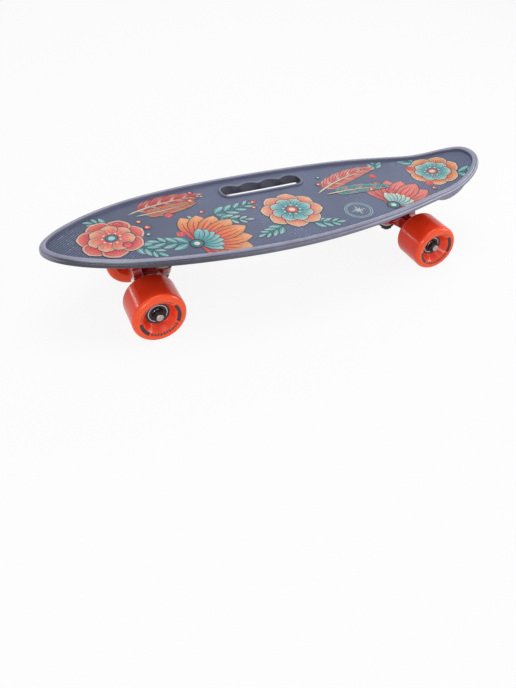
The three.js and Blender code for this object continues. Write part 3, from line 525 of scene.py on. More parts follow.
def skid():
    end = TAIL - SKID_MARGIN
    start = end - SKID_LENGTH
    bm = bmesh.new()
    rings = []
    section = [(0, 0), (0, 0.45), (0.12, 0.72), (0.4, 0.92), (1, 1)]
    for inside, deep in section:
        near, far = [], []
        for u in evenly(start, end, 32):
            bulge = SKID_DEPTH * max(math.sin(math.pi * (u - start) / SKID_LENGTH), 0) ** 0.5
            half = half_width(u, SKID_INSET + inside * SKID_INSET)
            near.append(deck_point(u, -half, -PLATE / 2 - deep * bulge))
            far.append(deck_point(u, half, -PLATE / 2 - deep * bulge))
        rings.append(near + far[::-1])
    closed(bm, sweep(bm, rings))
    return helper("skid", bm)


def slot_rows(grow, fine=3):
    end = SLOT_LENGTH / 2 + grow
    end_radius = SLOT_LENGTH / 2 - SCALLOP_PITCH * (SCALLOPS - 1) / 2 + grow
    centres = [(i - (SCALLOPS - 1) / 2) * SCALLOP_PITCH for i in range(SCALLOPS)]

    def near(x):
        into = max(SLOT_CORNER + grow - (end - abs(x)), 0)
        return SLOT_NEAR + SLOT_CORNER - math.sqrt(max((SLOT_CORNER + grow) ** 2 - into**2, 0))

    def far(x):
        centre = min(centres, key=lambda c: abs(c - x))
        outside = abs(x) > abs(centre) and abs(centre) == centres[-1]
        radius = end_radius if outside else SCALLOP_RADIUS + grow
        offset, flank = abs(x - centre), (SCALLOP_PITCH - CUSP) / 2
        into = 0 if outside else max(offset - flank, 0)
        slope = flank / math.sqrt((SCALLOP_RADIUS + grow) ** 2 - flank**2)
        fall = radius - math.sqrt(max(radius**2 - (offset - into) ** 2, 0))
        return SLOT_FAR + grow - fall - slope * (into - into**2 / CUSP)

    ends = [end - end_radius * (1 - math.cos(a)) for a in evenly(0, math.pi / 2, 4 * fine)]
    middle = evenly(centres[0], centres[-1], (SCALLOPS - 1) * 4 * fine)[1:-1]
    xs = [-x for x in ends] + middle + ends[::-1]
    return [(SLOT_MIDDLE + x, near(x), far(x)) for x in xs]


def slot_loop(grow, height, floor=0.0):
    rows = slot_rows(grow)
    low = [far + (min(far, SLOT_FLOOR) - far) * floor for _, _, far in rows]
    near = [deck_point(u, n, height) for u, n, _ in rows]
    far = [deck_point(row[0], y, height) for row, y in zip(rows, low)]
    return near + far[::-1]


def slot_wall():
    bm = bmesh.new()
    top = 1.32
    inner = [(0.12, 1.75, 0), (0.03, 1.5, 0)]
    inner += [(0, top + (WALL_LOW - top) * t, t) for t in evenly(0, 1, 5)]
    crest = [(LIP_WIDTH, WALL_LOW, 0), (LIP_WIDTH, -2.0, 0), (LIP_WIDTH, 0.9, 0), (3.12, 1.6, 0),
             (2.8, 2.1, 0), (2.3, 2.37, 0), (1.6, 2.4, 0), (0.9, 2.36, 0), (0.4, 2.12, 0)]
    sweep(bm, [slot_loop(*spot) for spot in inner + crest], loop=True)
    for face in bm.faces:
        face.material_index = INNER_INDEX
    return helper("slot_wall", bm)


def slot_plug():
    bm = bmesh.new()
    closed(bm, sweep(bm, [slot_loop(1.6, h) for h in (3.0, 0.0, -4.0, -14.0)]))
    return helper("slot_plug", bm)


def bolt_places():
    for end in (-1, 1):
        for along in (-1, 1):
            for side in (-1, 1):
                x = end * TRUCK_X + along * BOLT_X / 2
                name = "_".join(("front" if end < 0 else "rear", "fore" if along < 0 else "aft",
                                 "left" if side < 0 else "right"))
                yield name, x, side * BOLT_Y / 2, deck_point(x, 0, 0.2).z


def bolt_hole(x, y, top):
    bm = bmesh.new()
    low = PAD_TOP - 3
    profile = [(0, top + 3), (5.2, top + 3), (5.2, top), (2.7, top - 2.5), (2.7, low), (0, low)]
    turned(bm, profile, 40)
    bmesh.ops.translate(bm, verts=bm.verts, vec=(x + SHIFT, y, 0))
    return helper("hole", bm)


def build_deck():
    body = shell()
    under = ribs()
    combine(under, [skid()] + [pad(end * TRUCK_X, PAD_TOP, DECK_TOP - PLATE / 2) for end in (-1, 1)], "UNION")
    combine(under, [pad(end * TRUCK_X, PAD_TOP - RIB_DEPTH, PAD_TOP) for end in (-1, 1)], "DIFFERENCE")
    combine(body, [under], "UNION")
    combine(body, [slot_plug()], "DIFFERENCE")
    combine(body, [slot_wall()], "UNION")
    combine(body, [bolt_hole(x, y, top) for _, x, y, top in bolt_places()], "DIFFERENCE")
    mesh = body.data
    mesh.transform(Matrix.Diagonal((MM, MM, MM, 1)))
    smooth(mesh, 32)
    piece("deck_moulding", mesh, "board", DECK_MATERIALS, ["deck"])
    bpy.data.objects.remove(body)
    for face in mesh.polygons:
        c = face.center / MM
        u = c.x - SHIFT
        if u > KICK:
            u = KICK + KICK_RADIUS * math.atan2(c.x - SHIFT - KICK, DECK_TOP + KICK_RADIUS - c.z)
        level = c.z - deck_point(u, 0, 0).z
        if abs(level) < 0.06 and face.normal.z > 0.6 and abs(c.y) < half_width(u, RIM[0][0]) + 0.4:
            face.material_index = GRIP_INDEX
        elif (abs(u - SLOT_MIDDLE) < SLOT_LENGTH / 2 + 0.1
              and SLOT_NEAR - 0.1 < c.y < SLOT_FAR + 0.1 and -7 < level < 1.4):
            # faces inside the handle slot get the near-black wall material: painted shade
            face.material_index = SHADED_WALL_INDEX


build_deck()


# Round pieces: each is made about its own Z axis and then placed

def hexagon(flats):
    return lambda angle: flats / 2 / math.cos(angle % (math.pi / 3) - math.pi / 6)


def lock_nut(flats, height, bore):
    """A hexagon nut with chamfered corners and a nylon ring in its collar, standing on Z = 0."""
    bm = bmesh.new()
    flat, hexed = flats / 2 * 0.96, hexagon(flats)
    body = height * 0.76
    slope = lambda angle: (hexed(angle) - flat) * 0.5
    outer = [(bore + 0.5, 0), (flat, 0), (hexed, slope), (hexed, lambda a: body - slope(a)), (flat, body),
             (flat * 0.9, body + 0.1), (flat * 0.86, body + 0.4), (flat * 0.84, height - 0.5),
             (flat * 0.76, height), (flat * 0.66, height)]
    inner = [(flat * 0.66, height), (flat * 0.64, height - 0.35), (bore, height - 0.35)]
    back = [(bore, height - 0.35), (bore, 0.5), (bore + 0.5, 0)]
    for material, path in ((0, outer), (1, inner), (0, back)):
        sweep(bm, [circle(r, z, 72, 0) for r, z in path], material)
    return bm


def rod(bm, radius, low, high, threads=(), pitch=1.0, sides=32, chamfer=0.6):
    """A rod with helical threads over some stretches of its length."""
    heights = {low + chamfer, high - chamfer}
    for a, b in threads:
        heights.update(evenly(a, b, round((b - a) / pitch * 6)))
    in_thread = lambda z: any(a < z < b for a, b in threads)

    def at(z):
        def radial(angle):
            wave = (z / pitch + angle / (2 * math.pi)) % 1
            return radius - 0.42 * pitch * (1 - abs(2 * wave - 1)) * in_thread(z)
        return radial

    dome = [(0, 0), (0.4 * radius, 0.03), (radius - 1.5 * chamfer, 0.12), (radius - chamfer, 0.3 * chamfer)]
    rings = [circle(r, low + z, sides) for r, z in dome]
    rings += [circle(at(z), z, sides) for z in sorted(heights)]
    rings += [circle(r, high - z, sides) for r, z in dome[::-1]]
    sweep(bm, rings)


def arc(cx, cz, radius, start, end, steps):
    return [(cx + radius * math.cos(math.radians(a)), cz + radius * math.sin(math.radians(a)))
            for a in evenly(start, end, steps)]


def mirrored(half):
    return half + [(r, -z) for r, z in half[::-1]]


WHEEL_SIDES = 240


def printed(angle, r):
    """Whether the plain arcs and even ticks on a wheel's face cover a spot."""
    if angle < 40 or angle > 336 or 183 < angle < 233:
        return True
    column = round(angle * WHEEL_SIDES / 360)
    if 238 < angle < 331:
        return column % 6 < 2 or column % 6 in (3, 4) and 20.3 < r < 22.4
    return column % 2 == 0 and 50 < angle < 174 and 20.6 < r < 22.3


def wheel_body(bm):
    half = [(30, 0), (30, 6), (30, 12), (30, 16.2)] + arc(24.5, 17, 5.5, 2, 82, 9)
    half += [(24.2, 22.41)]
    half += [(r, 21.11 + 0.302 * (r - 19.9)) for r in (22.9, 22.3, 21.7, 21.1, 20.5, 19.9)]
    half += [(19.5, 20.9), (19.2, 20.55), (18.9, 20.15), (16, 15.9), (13.7, 12.6), (13.3, 12.2),
             (12.7, 12.05), (11.6, 12), (11.3, 11.8), (11.3, 4.7), (9, 4.7)]
    turned(bm, mirrored(half[1:])[::-1] + [half[0]], WHEEL_SIDES, loop=True)
    for face in bm.faces:
        c = face.calc_center_median()
        r = math.hypot(c.x, c.y)
        if abs(c.z) > 11.4 and r < 13.1:
            face.material_index = 2
        elif c.z > 20.7 and 19 < r < 22.9 and printed(math.degrees(math.atan2(c.y, c.x)) % 360, r):
            face.material_index = 1


def bearing():
    bm = bmesh.new()
    race = [(11, 3), (10.9, 3.35), (10.65, 3.5), (10.05, 3.5), (9.9, 3.4)]
    cover = [(9.9, 3.4), (9.75, 3.05), (9.4, 2.95), (8.9, 3.0), (8.6, 3.2), (7.3, 3.2), (7.1, 3.05),
             (6.7, 3.05), (6.5, 2.9)]
    turned(bm, [(r, -z) for r, z in race[::-1]] + race, 72)
    turned(bm, cover + [(r, -z) for r, z in cover[::-1]], 72, 1)
    return bm


def sleeve():
    bm = bmesh.new()
    turned(bm, [(4.3, -12.8), (4.4, -12.9), (5.4, -12.9), (5.5, -12.8), (5.5, -12.02), (5.8, -12),
                (5.9, -11.9), (5.9, -5.1), (5.8, -5), (5.2, -4.9), (5.2, 4.9), (5.8, 5), (5.9, 5.1),
                (5.9, 11.9), (5.8, 12), (5.5, 12.02), (5.5, 12.9), (5.4, 13), (4.4, 13), (4.3, 12.9)],
           48, loop=True)
    return bm


def about(place, *turns):
    whole = Matrix.Translation(place)
    for angle, axis in turns:
        whole = whole @ Matrix.Rotation(math.radians(angle), 4, axis)
    return whole


def build_wheels():
    for end, x in (("front", -TRUCK_X + AXLE_X + SHIFT), ("rear", TRUCK_X - AXLE_X + SHIFT)):
        for hand, side in (("left", -1), ("right", 1)):
            name = f"{end}_{hand}"
            outward = about((x, side * WHEEL_Y, 30), (-90 * side, "X"))
            bm = bmesh.new()
            wheel_body(bm)
            piece(f"{name}_cast_wheel", mesh_from(bm, "cast_wheel", outward), f"{name}_wheel_group",
                  ["urethane", "mark", "shield"], [f"{name}_wheel"])
            for label, place, turn in (("inner", -8.5, 180), ("outer", 8.5, 0)):
                mesh = mesh_from(bearing(), "shielded_bearing", outward @ about((0, 0, place), (turn, "X")))
                piece(f"{name}_{label}_shielded_bearing", mesh, f"{name}_wheel_group",
                      ["steel", "shield"], [f"{name}_{label}_bearing"])
            mesh = mesh_from(sleeve(), "spacer_sleeve", outward)
            piece(f"{name}_spacer_sleeve", mesh, f"{end}_hanger_group", ["steel"],
                  [f"{name}_bearing_sleeve"])
            mesh = mesh_from(lock_nut(12.7, 6.5, 4.0), "lock_nut", outward @ about((0, 0, 13.1)))
            piece(f"{name}_lock_nut", mesh, f"{end}_hanger_group",
                  ["black_steel", "shield"], [f"{name}_axle_nut"])


# Trucks: X runs towards the middle of the deck, from the middle of the bolt pattern

def truck_place(end):
    return about((end * TRUCK_X + SHIFT, 0, 82), (180 if end > 0 else 0, "Z"))


KINGPIN = about((12, 0, -42.7), (7, "Y"))
STEER = about((12, 0, -42.7), (-55, "Y"))
BARREL = about((AXLE_X, 0, AXLE_Z), (-90, "X"))


def cast(name, node, body, solids):
    """A casting: the CAD node with its rounds made truly round, its edges softened and one skin over all."""
    bm = bmesh.new()
    bm.from_mesh(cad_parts[node].data)
    for profile, place in solids:
        other = bmesh.new()
        turned(other, profile, 96, loop=True)
        mesh = mesh_from(other, "round", place)
        bm.from_mesh(mesh)
        bpy.data.meshes.remove(mesh)
    mesh = bpy.data.meshes.new(name)
    bm.to_mesh(mesh)
    bm.free()
    obj = piece(name, mesh, body, ["paint"], [node])
    skin = obj.modifiers.new("skin", "REMESH")
    skin.mode, skin.voxel_size, skin.use_smooth_shade = "VOXEL", 0.00055, True
    soft = obj.modifiers.new("soft", "SMOOTH")
    soft.factor, soft.iterations = 0.5, 7
    thin = obj.modifiers.new("thin", "DECIMATE")
    thin.ratio = 0.3
    bpy.context.view_layer.update()
    settled(obj)
    smooth(obj.data, 60)
    return obj


def washer(radius, base, facing):
    """A cupped washer on the kingpin; its rim stands towards the bushing."""
    foot, top = (base, base + 1.6) if facing > 0 else (base + 1.6, base)
    f = facing
    bm = bmesh.new()
    turned(bm, [(4.3, foot + 0.2 * f), (4.5, foot), (radius - 0.7, foot), (radius - 0.2, foot + 0.25 * f),
                (radius, foot + 0.8 * f), (radius, top + 0.7 * f), (radius - 0.3, top + f),
                (radius - 0.8, top + f), (radius - 1.1, top + 0.7 * f), (radius - 1.1, top + 0.2 * f),
                (radius - 1.5, top), (4.5, top), (4.3, top - 0.2 * f)], 72, loop=True)
    return bm


def cushion(radius, bulge, low, high):
    bm = bmesh.new()
    mid, tall = (low + high) / 2, high - low
    wall = [(radius + bulge * math.cos(math.pi * (z - mid) / tall), z)
            for z in evenly(low + 0.9, high - 0.9, 8)]
    foot = [(4.3, 0), (radius - 1, 0), (radius - 0.35, 0.2), (radius - 0.05, 0.55)]
    turned(bm, [(r, low + z) for r, z in foot] + wall + [(r, high - z) for r, z in foot[::-1]],
           72, loop=True)
    return bm


def build_trucks():
    barrel = [(4.6, -41.25), (6.9, -41.25), (7.2, -40.9), (9.8, -18.6), (9.8, 18.6), (7.2, 40.9),
              (6.9, 41.25), (4.6, 41.25)]
    ring = [(10.75, 1.75), (10.75, 5.5), (12.1, 5.5), (12.6, 4.5), (11.8, -4.5), (10.8, -5.5), (9.35, -5.5),
            (9.35, 1.75)]
    pivot = [(0.01, 28.4), (8, 28.4), (8, 35.4), (5.5, 38.4), (5.5, 46.6), (4.9, 48), (2.75, 49.4),
             (0.01, 49.4)]
    kingpin_boss = [(4.8, 18.6), (12.8, 18.6), (13, 18.9), (13.6, 30), (4.8, 30)]
    pivot_boss = [(9, 39.4), (11.3, 39.4), (11.5, 39.7), (11.5, 51), (9, 51)]
    nut_place = about((0, 0, -11), (180, "X"))
    for end, sign in (("front", -1), ("rear", 1)):
        place = truck_place(sign)
        pin, steer = place @ KINGPIN, place @ STEER
        cast(f"{end}_hanger_casting", f"{end}_hanger", f"{end}_hanger_group",
             [(barrel, place @ BARREL), (ring, pin), (pivot, steer)])
        cast(f"{end}_base_casting", f"{end}_baseplate", "board", [(kingpin_boss, pin), (pivot_boss, steer)])

        def add(label, bm, where, body, materials, node):
            piece(f"{end}_{label}", mesh_from(bm, label, where), body, materials, [f"{end}_{node}"])

        bm = bmesh.new()
        rod(bm, 4, -75.6, 75.6, [(-74.6, -67.2), (67.2, 74.6)], 1.06, chamfer=1.0)
        add("axle_rod", bm, place @ BARREL, f"{end}_hanger_group", ["axle_steel_red_reflection"], "axle")
        bm = bmesh.new()
        rod(bm, 4, -18.1, 38, [(-17.6, -10)], 1.25)
        turned(bm, [(r, z) for r, z in ((0.01, 34.588), (6.2, 34.588))], 72)
        sweep(bm, [circle(r, z, 72, 0) for r, z in (
            (6.2, 34.588), (hexagon(13), lambda a: 34.588 + (hexagon(13)(a) - 6.2) * 0.5),
            (hexagon(13), lambda a: 40.588 - (hexagon(13)(a) - 6.2) * 0.5), (6.2, 40.588), (0.01, 40.588))])
        add("kingpin_bolt", bm, pin, "board", ["steel"], "kingpin")
        add("kingpin_lock_nut", lock_nut(13, 6.3, 4.1), pin @ nut_place, "board",
            ["black_steel", "shield"], "kingpin_nut")
        add("lower_washer", washer(10.2, -10.9, 1), pin, "board", ["black_steel"],
            "lower_cup_washer")
        add("upper_washer", washer(11.5, 16.9, -1), pin, "board", ["steel"], "upper_cup_washer")
        add("lower_cushion", cushion(8.75, 0.05, -9.2, -1.8), pin, "board", ["bushing"],
            "lower_bushing")
        add("upper_cushion", cushion(10.05, 0.5, 1.8, 16.8), pin, "board", ["bushing"],
            "upper_bushing")
        bm = bmesh.new()
        turned(bm, [(5.8, 39.6), (6.0, 39.4), (8.3, 39.4), (8.5, 39.6), (8.5, 51.7), (0.01, 51.7), (0.01, 49.7),
                    (5.8, 49.7)], 64, loop=True)
        add("pivot_seat", bm, steer, "board", ["cup"], "pivot_cup")


# Deck bolts

def drive_tool():
    """A tapered cross for the screwdriver recess."""
    for turn in (0, 90):
        place = Matrix.Rotation(math.radians(turn + 20), 4, "Z")
        rings = [[place @ Vector((x * a, y * b, z)) for x, y in ((1, 1), (-1, 1), (-1, -1), (1, -1))]
                 for a, b, z in ((3.0, 0.85, 1.0), (3.0, 0.8, 0.0), (1.5, 0.5, -1.9))]
        other = bmesh.new()
        rows = sweep(other, rings)
        other.faces.new(rows[0])
        other.faces.new(rows[-1])
        yield helper("drive", other)


def build_bolts():
    bm = bmesh.new()
    turned(bm, [(0.001, 0.0), (3.2, 0), (4.6, -0.02), (4.8, -0.08), (4.9, -0.22), (2.4, -2.7), (2.4, -8),
                (0.001, -8)], 56)
    head = helper("bolt_head", bm)
    combine(head, list(drive_tool()), "DIFFERENCE")
    # faces inside the drive recess get the reddish-black material: painted shade
    for face in head.data.polygons:
        c = face.center
        face.material_index = int(math.hypot(c.x, c.y) < 3.1 and -2.2 < c.z < -0.01 and face.area < 9
                                  and (c.x, c.y) != (0, 0))
    source = head.data
    for name, x, y, top in bolt_places():
        bm = bmesh.new()
        bm.from_mesh(source)
        rod(bm, 2.4, -25, -7.5, [(-24.6, -12)], 0.8, 24, 0.4)
        for face in bm.faces:
            if face.calc_center_median().z < -7.6:
                face.material_index = 2
        mesh = mesh_from(bm, "deck_bolt", about((x + SHIFT, y, top)), 30)
        piece(f"{name}_deck_bolt", mesh, "board", ["bolt", "shaded_socket", "steel"], [f"{name}_bolt"])
        mesh = mesh_from(lock_nut(8.7, 5.5, 2.5), "deck_nut", about((x + SHIFT, y, 76.9), (180, "X")))
        piece(f"{name}_deck_nut", mesh, "board", ["black_steel", "shield"], [f"{name}_nut"])
    bpy.data.objects.remove(head)


build_wheels()
build_trucks()
build_bolts()


# Print on the top: generic flowers, feathers and leaves, in flat deck coordinates (u, y)

INK = (0.018, 0.016, 0.03)
BLOOD = (0.50, 0.028, 0.03)
CORAL = (0.84, 0.095, 0.085)
TANGERINE = (0.90, 0.27, 0.07)
PEACH = (0.93, 0.50, 0.27)
SALMON = (0.88, 0.24, 0.19)
PALE = (0.93, 0.66, 0.50)
CREAM = (0.84, 0.75, 0.58)
TEAL = (0.02, 0.21, 0.26)
AQUA = (0.12, 0.45, 0.48)
MIST = (0.42, 0.68, 0.66)


def between(tones, share):
    place = min(max(share, 0), 1) * (len(tones) - 1)
    i = min(int(place), len(tones) - 2)
    return tuple(a + (b - a) * (place - i) for a, b in zip(tones[i], tones[i + 1]))


def walked(root, angle, length, bend, share=1):
    """The spot that lies a share of the way along a bent line."""
    x, y = root
    for i in range(20):
        a = math.radians(angle + bend * share * i / 20)
        x, y = x + length * share / 20 * math.cos(a), y + length * share / 20 * math.sin(a)
    return x, y


class Print:
    """Printed shapes, each laid a hair over the last."""

    def __init__(self):
        self.bm = bmesh.new()
        self.ink = self.bm.verts.layers.float_color.new("ink")
        self.level = 0.05

    def strip(self, rows, tone_at):
        """A patch over rows of points; tone_at takes the share along and the place across."""
        made = []
        for i, row in enumerate(rows):
            made.append([])
            for k, (x, y) in enumerate(row):
                vert = self.bm.verts.new((x, y, self.level))
                tone = tone_at(i / (len(rows) - 1), 2 * k / (len(row) - 1) - 1)
                vert[self.ink] = (*tone, 1)
                made[-1].append(vert)
        for a, b in zip(made, made[1:]):
            for k in range(len(a) - 1):
                self.bm.faces.new((a[k], a[k + 1], b[k + 1], b[k]))
        self.level += 0.003

    def shape(self, root, angle, length, width, bend, peak, full, grow, shift=0.0, narrow=1.0):
        """Rows across a leaf-like form along a bent line, grown on all sides."""
        power = math.log(0.5) / math.log(peak)
        steps, rows = 14, []
        x, y = root
        x -= grow * math.cos(math.radians(angle))
        y -= grow * math.sin(math.radians(angle))
        reach = (length + 2 * grow) / steps
        for i in range(steps + 1):
            share = i / steps
            heading = math.radians(angle + bend * share)
            if i:
                x, y = x + reach * math.cos(heading), y + reach * math.sin(heading)
            half = (width / 2 + grow) * max(math.sin(math.pi * share**power), 0) ** full * narrow
            side = shift * width / 2 * max(math.sin(math.pi * share**power), 0) ** full
            rows.append([(x - (side + half * t) * math.sin(heading), y + (side + half * t) * math.cos(heading))
                         for t in evenly(-1, 1, 4)])
        return rows

    def blade(self, root, angle, length, width, tones, bend=0.0, peak=0.6, full=0.8, line=0.9, veins=0,
              vein=INK):
        form = (root, angle, length, width, bend, peak, full)
        if line:
            self.strip(self.shape(*form, line), lambda s, t: INK)
        if tones:
            self.strip(self.shape(*form, 0), lambda s, t: shade(between(tones, s), 1 - 0.22 * t * t))
        for k in range(veins):
            shift = 0 if veins == 1 else 1.1 * (k / (veins - 1) - 0.5)
            rows = self.shape(*form, -length * 0.1, shift, 0.0)
            thick = max(width * 0.035, 0.35)
            found = []
            for i, row in enumerate(rows):
                share = i / (len(rows) - 1)
                heading = math.radians(angle + bend * share)
                half = thick * math.sin(math.pi * min(share + 0.08, 1)) ** 0.6
                x, y = row[0]
                found.append([(x - half * t * math.sin(heading), y + half * t * math.cos(heading))
                              for t in (-1, 1)])
            self.strip(found, lambda s, t: vein)

    def buds(self, *spots):
        for x, y, r, tone in spots:
            self.disc((x, y), r + 0.9, INK)
            self.disc((x, y), r, tone)
            self.disc((x - 0.2 * r, y + 0.2 * r), r * 0.45, CREAM)

    def disc(self, centre, radius, tone, hole=0.0, steps=28):
        rows = []
        for i in range(steps + 1):
            a = 2 * math.pi * i / steps
            rows.append([(centre[0] + r * math.cos(a), centre[1] + r * math.sin(a))
                         for r in (radius * hole, radius * (1 + hole) / 2, radius)])
        self.strip(rows, lambda s, t: tone)

    def flower(self, centre, radius, petals, turn, outer, inner, heart, bend=14):
        for ring, size, offset, tones in ((0, 1.0, 0.0, outer), (1, 0.66, 0.5, inner)):
            for k in range(petals):
                a = turn + 360 * (k + offset) / petals
                wide = 2 * radius * size * math.sin(math.pi / petals) * 0.92
                root = (centre[0] + radius * 0.08 * math.cos(math.radians(a)),
                        centre[1] + radius * 0.08 * math.sin(math.radians(a)))
                form = (root, a - bend / 2, radius * size * 0.92)
                self.blade(*form, wide, [tones[-1], PALE], bend, 0.66, 0.7, 0.9)
                form = (*form[:2], form[2] * 0.95)
                self.blade(*form, wide * 0.86, tones, bend, 0.66, 0.72, 0)
                self.blade(*form, wide * 0.8, None, bend, 0.66, 0.8, 0, 5 - 2 * ring, tones[0])
        self.disc(centre, radius * 0.2, INK)
        self.disc(centre, radius * 0.17, heart[0])
        self.disc(centre, radius * 0.1, heart[1])
        for k in range(9):
            a = math.radians(turn + 40 * k)
            spot = (centre[0] + radius * 0.27 * math.cos(a), centre[1] + radius * 0.27 * math.sin(a))
            self.disc(spot, radius * 0.035, CREAM, steps=8)

    def feather(self, root, angle, length, width, tones, bend, barbs):
        for k in range(barbs):
            share = 0.16 + 0.8 * k / (barbs - 1)
            heading = angle + bend * share
            path = walked(root, angle, length, bend, share)
            size = width / 2 * math.sin(math.pi * min(0.12 + 0.8 * share, 1)) ** 0.6 * 1.35
            for side in (-1, 1):
                lean = 46 - 24 * share
                mixed = tones if (k + (side > 0)) % 3 else tones[::-1]
                self.blade(path, heading + side * lean, size, size * 0.3, mixed, -side * 22, 0.55, 0.7,
                           0.7, 1 if size > 9 else 0)
        self.blade(root, angle, length, length * 0.028, [CREAM, PEACH], bend, 0.25, 0.5, 0.6)

    def sprig(self, root, angle, length, leaf, tones, bend, pairs):
        self.blade(root, angle, length, 1.6, [TEAL, AQUA], bend, 0.3, 0.4, 0.5)
        for k in range(pairs):
            share = (k + 0.8) / (pairs + 0.3)
            path = walked(root, angle, length, bend, share)
            for side in (-1, 1):
                size = leaf * (1.05 - 0.45 * share)
                self.blade(path, angle + bend * share + side * 48, size, size * 0.42, tones, -side * 26,
                           0.45, 0.85, 0.8, 1, CREAM)
        tip = walked(root, angle, length, bend)
        self.blade(tip, angle + bend, leaf * 0.7, leaf * 0.3, tones, 10, 0.45, 0.85, 0.8, 1, CREAM)

    def fan(self, root, angle, radius, spread, count, tones, cup):
        order = sorted(range(count), key=lambda k: -abs(k - (count - 1) / 2))
        for k in order:
            off = 2 * k / (count - 1) - 1
            self.blade(root, angle + off * spread, radius * (1 - 0.16 * abs(off)), radius * 0.36, tones,
                       off * 30, 0.62, 0.7, 0.9, 3, BLOOD)
        for k in range(count - 2):
            off = 2 * k / (count - 3) - 1
            self.blade(root, angle + off * spread * 0.7, radius * 0.46, radius * 0.17, cup, off * 20, 0.6, 0.75,
                       0.8, 1)
        self.disc(root, radius * 0.13, INK)
        self.disc(root, radius * 0.1, TEAL)
        self.disc(root, radius * 0.05, CREAM)

    def trimmed(self):
        """Cuts the print back round the bolt heads and to the foot of the rim."""
        bm = self.bm

        def cut(geom, spot, out):
            return bmesh.ops.bisect_plane(bm, geom=geom, plane_co=spot, plane_no=out,
                                          dist=1e-4)["geom"]

        def parts(chosen):
            return list({p for f in bm.faces if chosen(f) for p in (f, *f.edges, *f.verts)})

        for _, bx, by, _ in bolt_places():
            def away(f):
                middle = f.calc_center_median()
                return math.hypot(middle.x - bx, middle.y - by)

            geom = parts(lambda f: away(f) < 12)
            for k in range(20 if geom else 0):
                a = 2 * math.pi * k / 20
                out = Vector((math.cos(a), math.sin(a), 0))
                geom = cut(geom, Vector((bx, by, 0)) + out * 5.7, out)
            bmesh.ops.delete(bm, geom=[f for f in bm.faces if away(f) < 5.65], context="FACES")
        geom = parts(lambda f: max(v.co.x for v in f.verts) > KICK)
        for u in evenly(KICK, TAIL, 56 if geom else 0):
            geom = cut(geom, (u, 0, 0), (1, 0, 0))
        for vert in bm.verts:
            u = min(max(vert.co.x, 10.4 - NOSE), TAIL - 10.4)
            limit = max(half_width(u, 9.4), 0.01)
            vert.co = deck_point(u, min(max(vert.co.y, -limit), limit), vert.co.z)
        bmesh.ops.triangulate(bm, faces=bm.faces)
        flat = [f for f in bm.faces if f.calc_area() < 1e-4]
        bmesh.ops.delete(bm, geom=flat, context="FACES")
        return bm

    def place(self, name):
        bm = self.trimmed()
        bmesh.ops.scale(bm, verts=bm.verts, vec=(MM, MM, MM))
        for face in bm.faces:
            face.normal_update()
            if face.normal.z < 0:
                face.normal_flip()
        mesh = bpy.data.meshes.new(name)
        bm.to_mesh(mesh)
        bm.free()
        smooth(mesh, 60)
        return piece(name, mesh, "board", ["ink"])


WARM = [BLOOD, CORAL, CORAL, SALMON]
LIGHT = [CORAL, SALMON, PEACH]
BRIGHT = [BLOOD, CORAL, TANGERINE, PEACH]
COOL = [TEAL, AQUA, MIST]


def build_print():
    p = Print()
    p.sprig((-196, -22), -34, 34, 20, COOL, -22, 3)
    p.sprig((-206, 20), 128, 20, 18, COOL, 24, 2)
    p.flower((-210, -4), 37, 7, 12, WARM, LIGHT, (TEAL, MIST))
    p.buds((-168, 4, 3.4, CORAL), (-171, -10, 2.4, AQUA), (-174, 18, 2.6, TANGERINE))
    p.place("print_nose_flower")
    p = Print()
    p.feather((-182, 36), 24, 88, 42, [BLOOD, CORAL, PALE], -26, 14)
    p.feather((-174, 30), 2, 68, 32, [CORAL, TANGERINE, AQUA], 10, 10)
    p.buds((-98, 62, 2.6, CORAL), (-92, 52, 2.0, AQUA), (-104, 44, 3.0, TANGERINE))
    p.place("print_fore_feathers")
    p = Print()
    p.sprig((-126, -42), 172, 40, 22, COOL, -24, 3)
    p.sprig((-118, -34), 74, 34, 20, COOL, 24, 3)
    p.fan((-128, -44), 14, 66, 60, 9, BRIGHT, [TEAL, AQUA, MIST])
    p.place("print_fore_fan")
    p = Print()
    p.sprig((-98, 6), 4, 56, 21, COOL, 12, 4)
    p.sprig((-92, 2), -36, 36, 18, [TEAL, AQUA, CREAM], 18, 3)
    p.buds((-34, 18, 3.2, CORAL), (-38, 6, 2.4, TANGERINE), (-100, 16, 2.6, CORAL))
    p.place("print_middle_leaves")
    p = Print()
    p.sprig((6, -44), -26, 34, 18, COOL, 10, 3)
    p.sprig((-18, -40), 206, 32, 18, COOL, -14, 3)
    p.flower((2, -14), 38, 8, 30, LIGHT, COOL, (CORAL, CREAM), -16)
    p.place("print_middle_flower")
    p = Print()
    p.feather((50, 8), 34, 98, 44, [CORAL, SALMON, PALE], -30, 14)
    p.feather((58, 2), 4, 80, 34, [TEAL, AQUA, SALMON], -22, 11)
    p.buds((62, 28, 3.0, CORAL), (70, 44, 2.2, AQUA), (118, -8, 2.6, TANGERINE))
    p.place("print_aft_feathers")
    p = Print()
    p.sprig((152, 30), 78, 24, 18, COOL, -30, 2)
    p.fan((122, -50), 30, 66, 52, 9, [BLOOD, CORAL, SALMON, SALMON], [AQUA, MIST, CREAM])
    p.place("print_aft_fan")
    p = Print()
    p.sprig((216, 26), 118, 24, 20, COOL, 20, 2)
    p.sprig((236, -14), -40, 28, 20, COOL, 20, 2)
    p.flower((220, 2), 35, 7, -8, BRIGHT, [TEAL, AQUA, MIST], (CORAL, CREAM))
    p.buds((196, -34, 3.0, CORAL), (204, -44, 2.2, AQUA))
    p.place("print_tail_flower")
    p = Print()
    for hole, radius in ((0.955, 17), (0.95, 14.6)):
        p.disc((76, -44), radius, MIST, hole=hole, steps=48)
    for k in range(8):
        long = 10 if k % 2 == 0 else 6
        p.blade((76, -44), 45 * k, long, 1.4, [MIST, CREAM], 0, 0.4, 0.6, 0)
    p.place("print_rosette")


build_print()


# Stage, light and camera

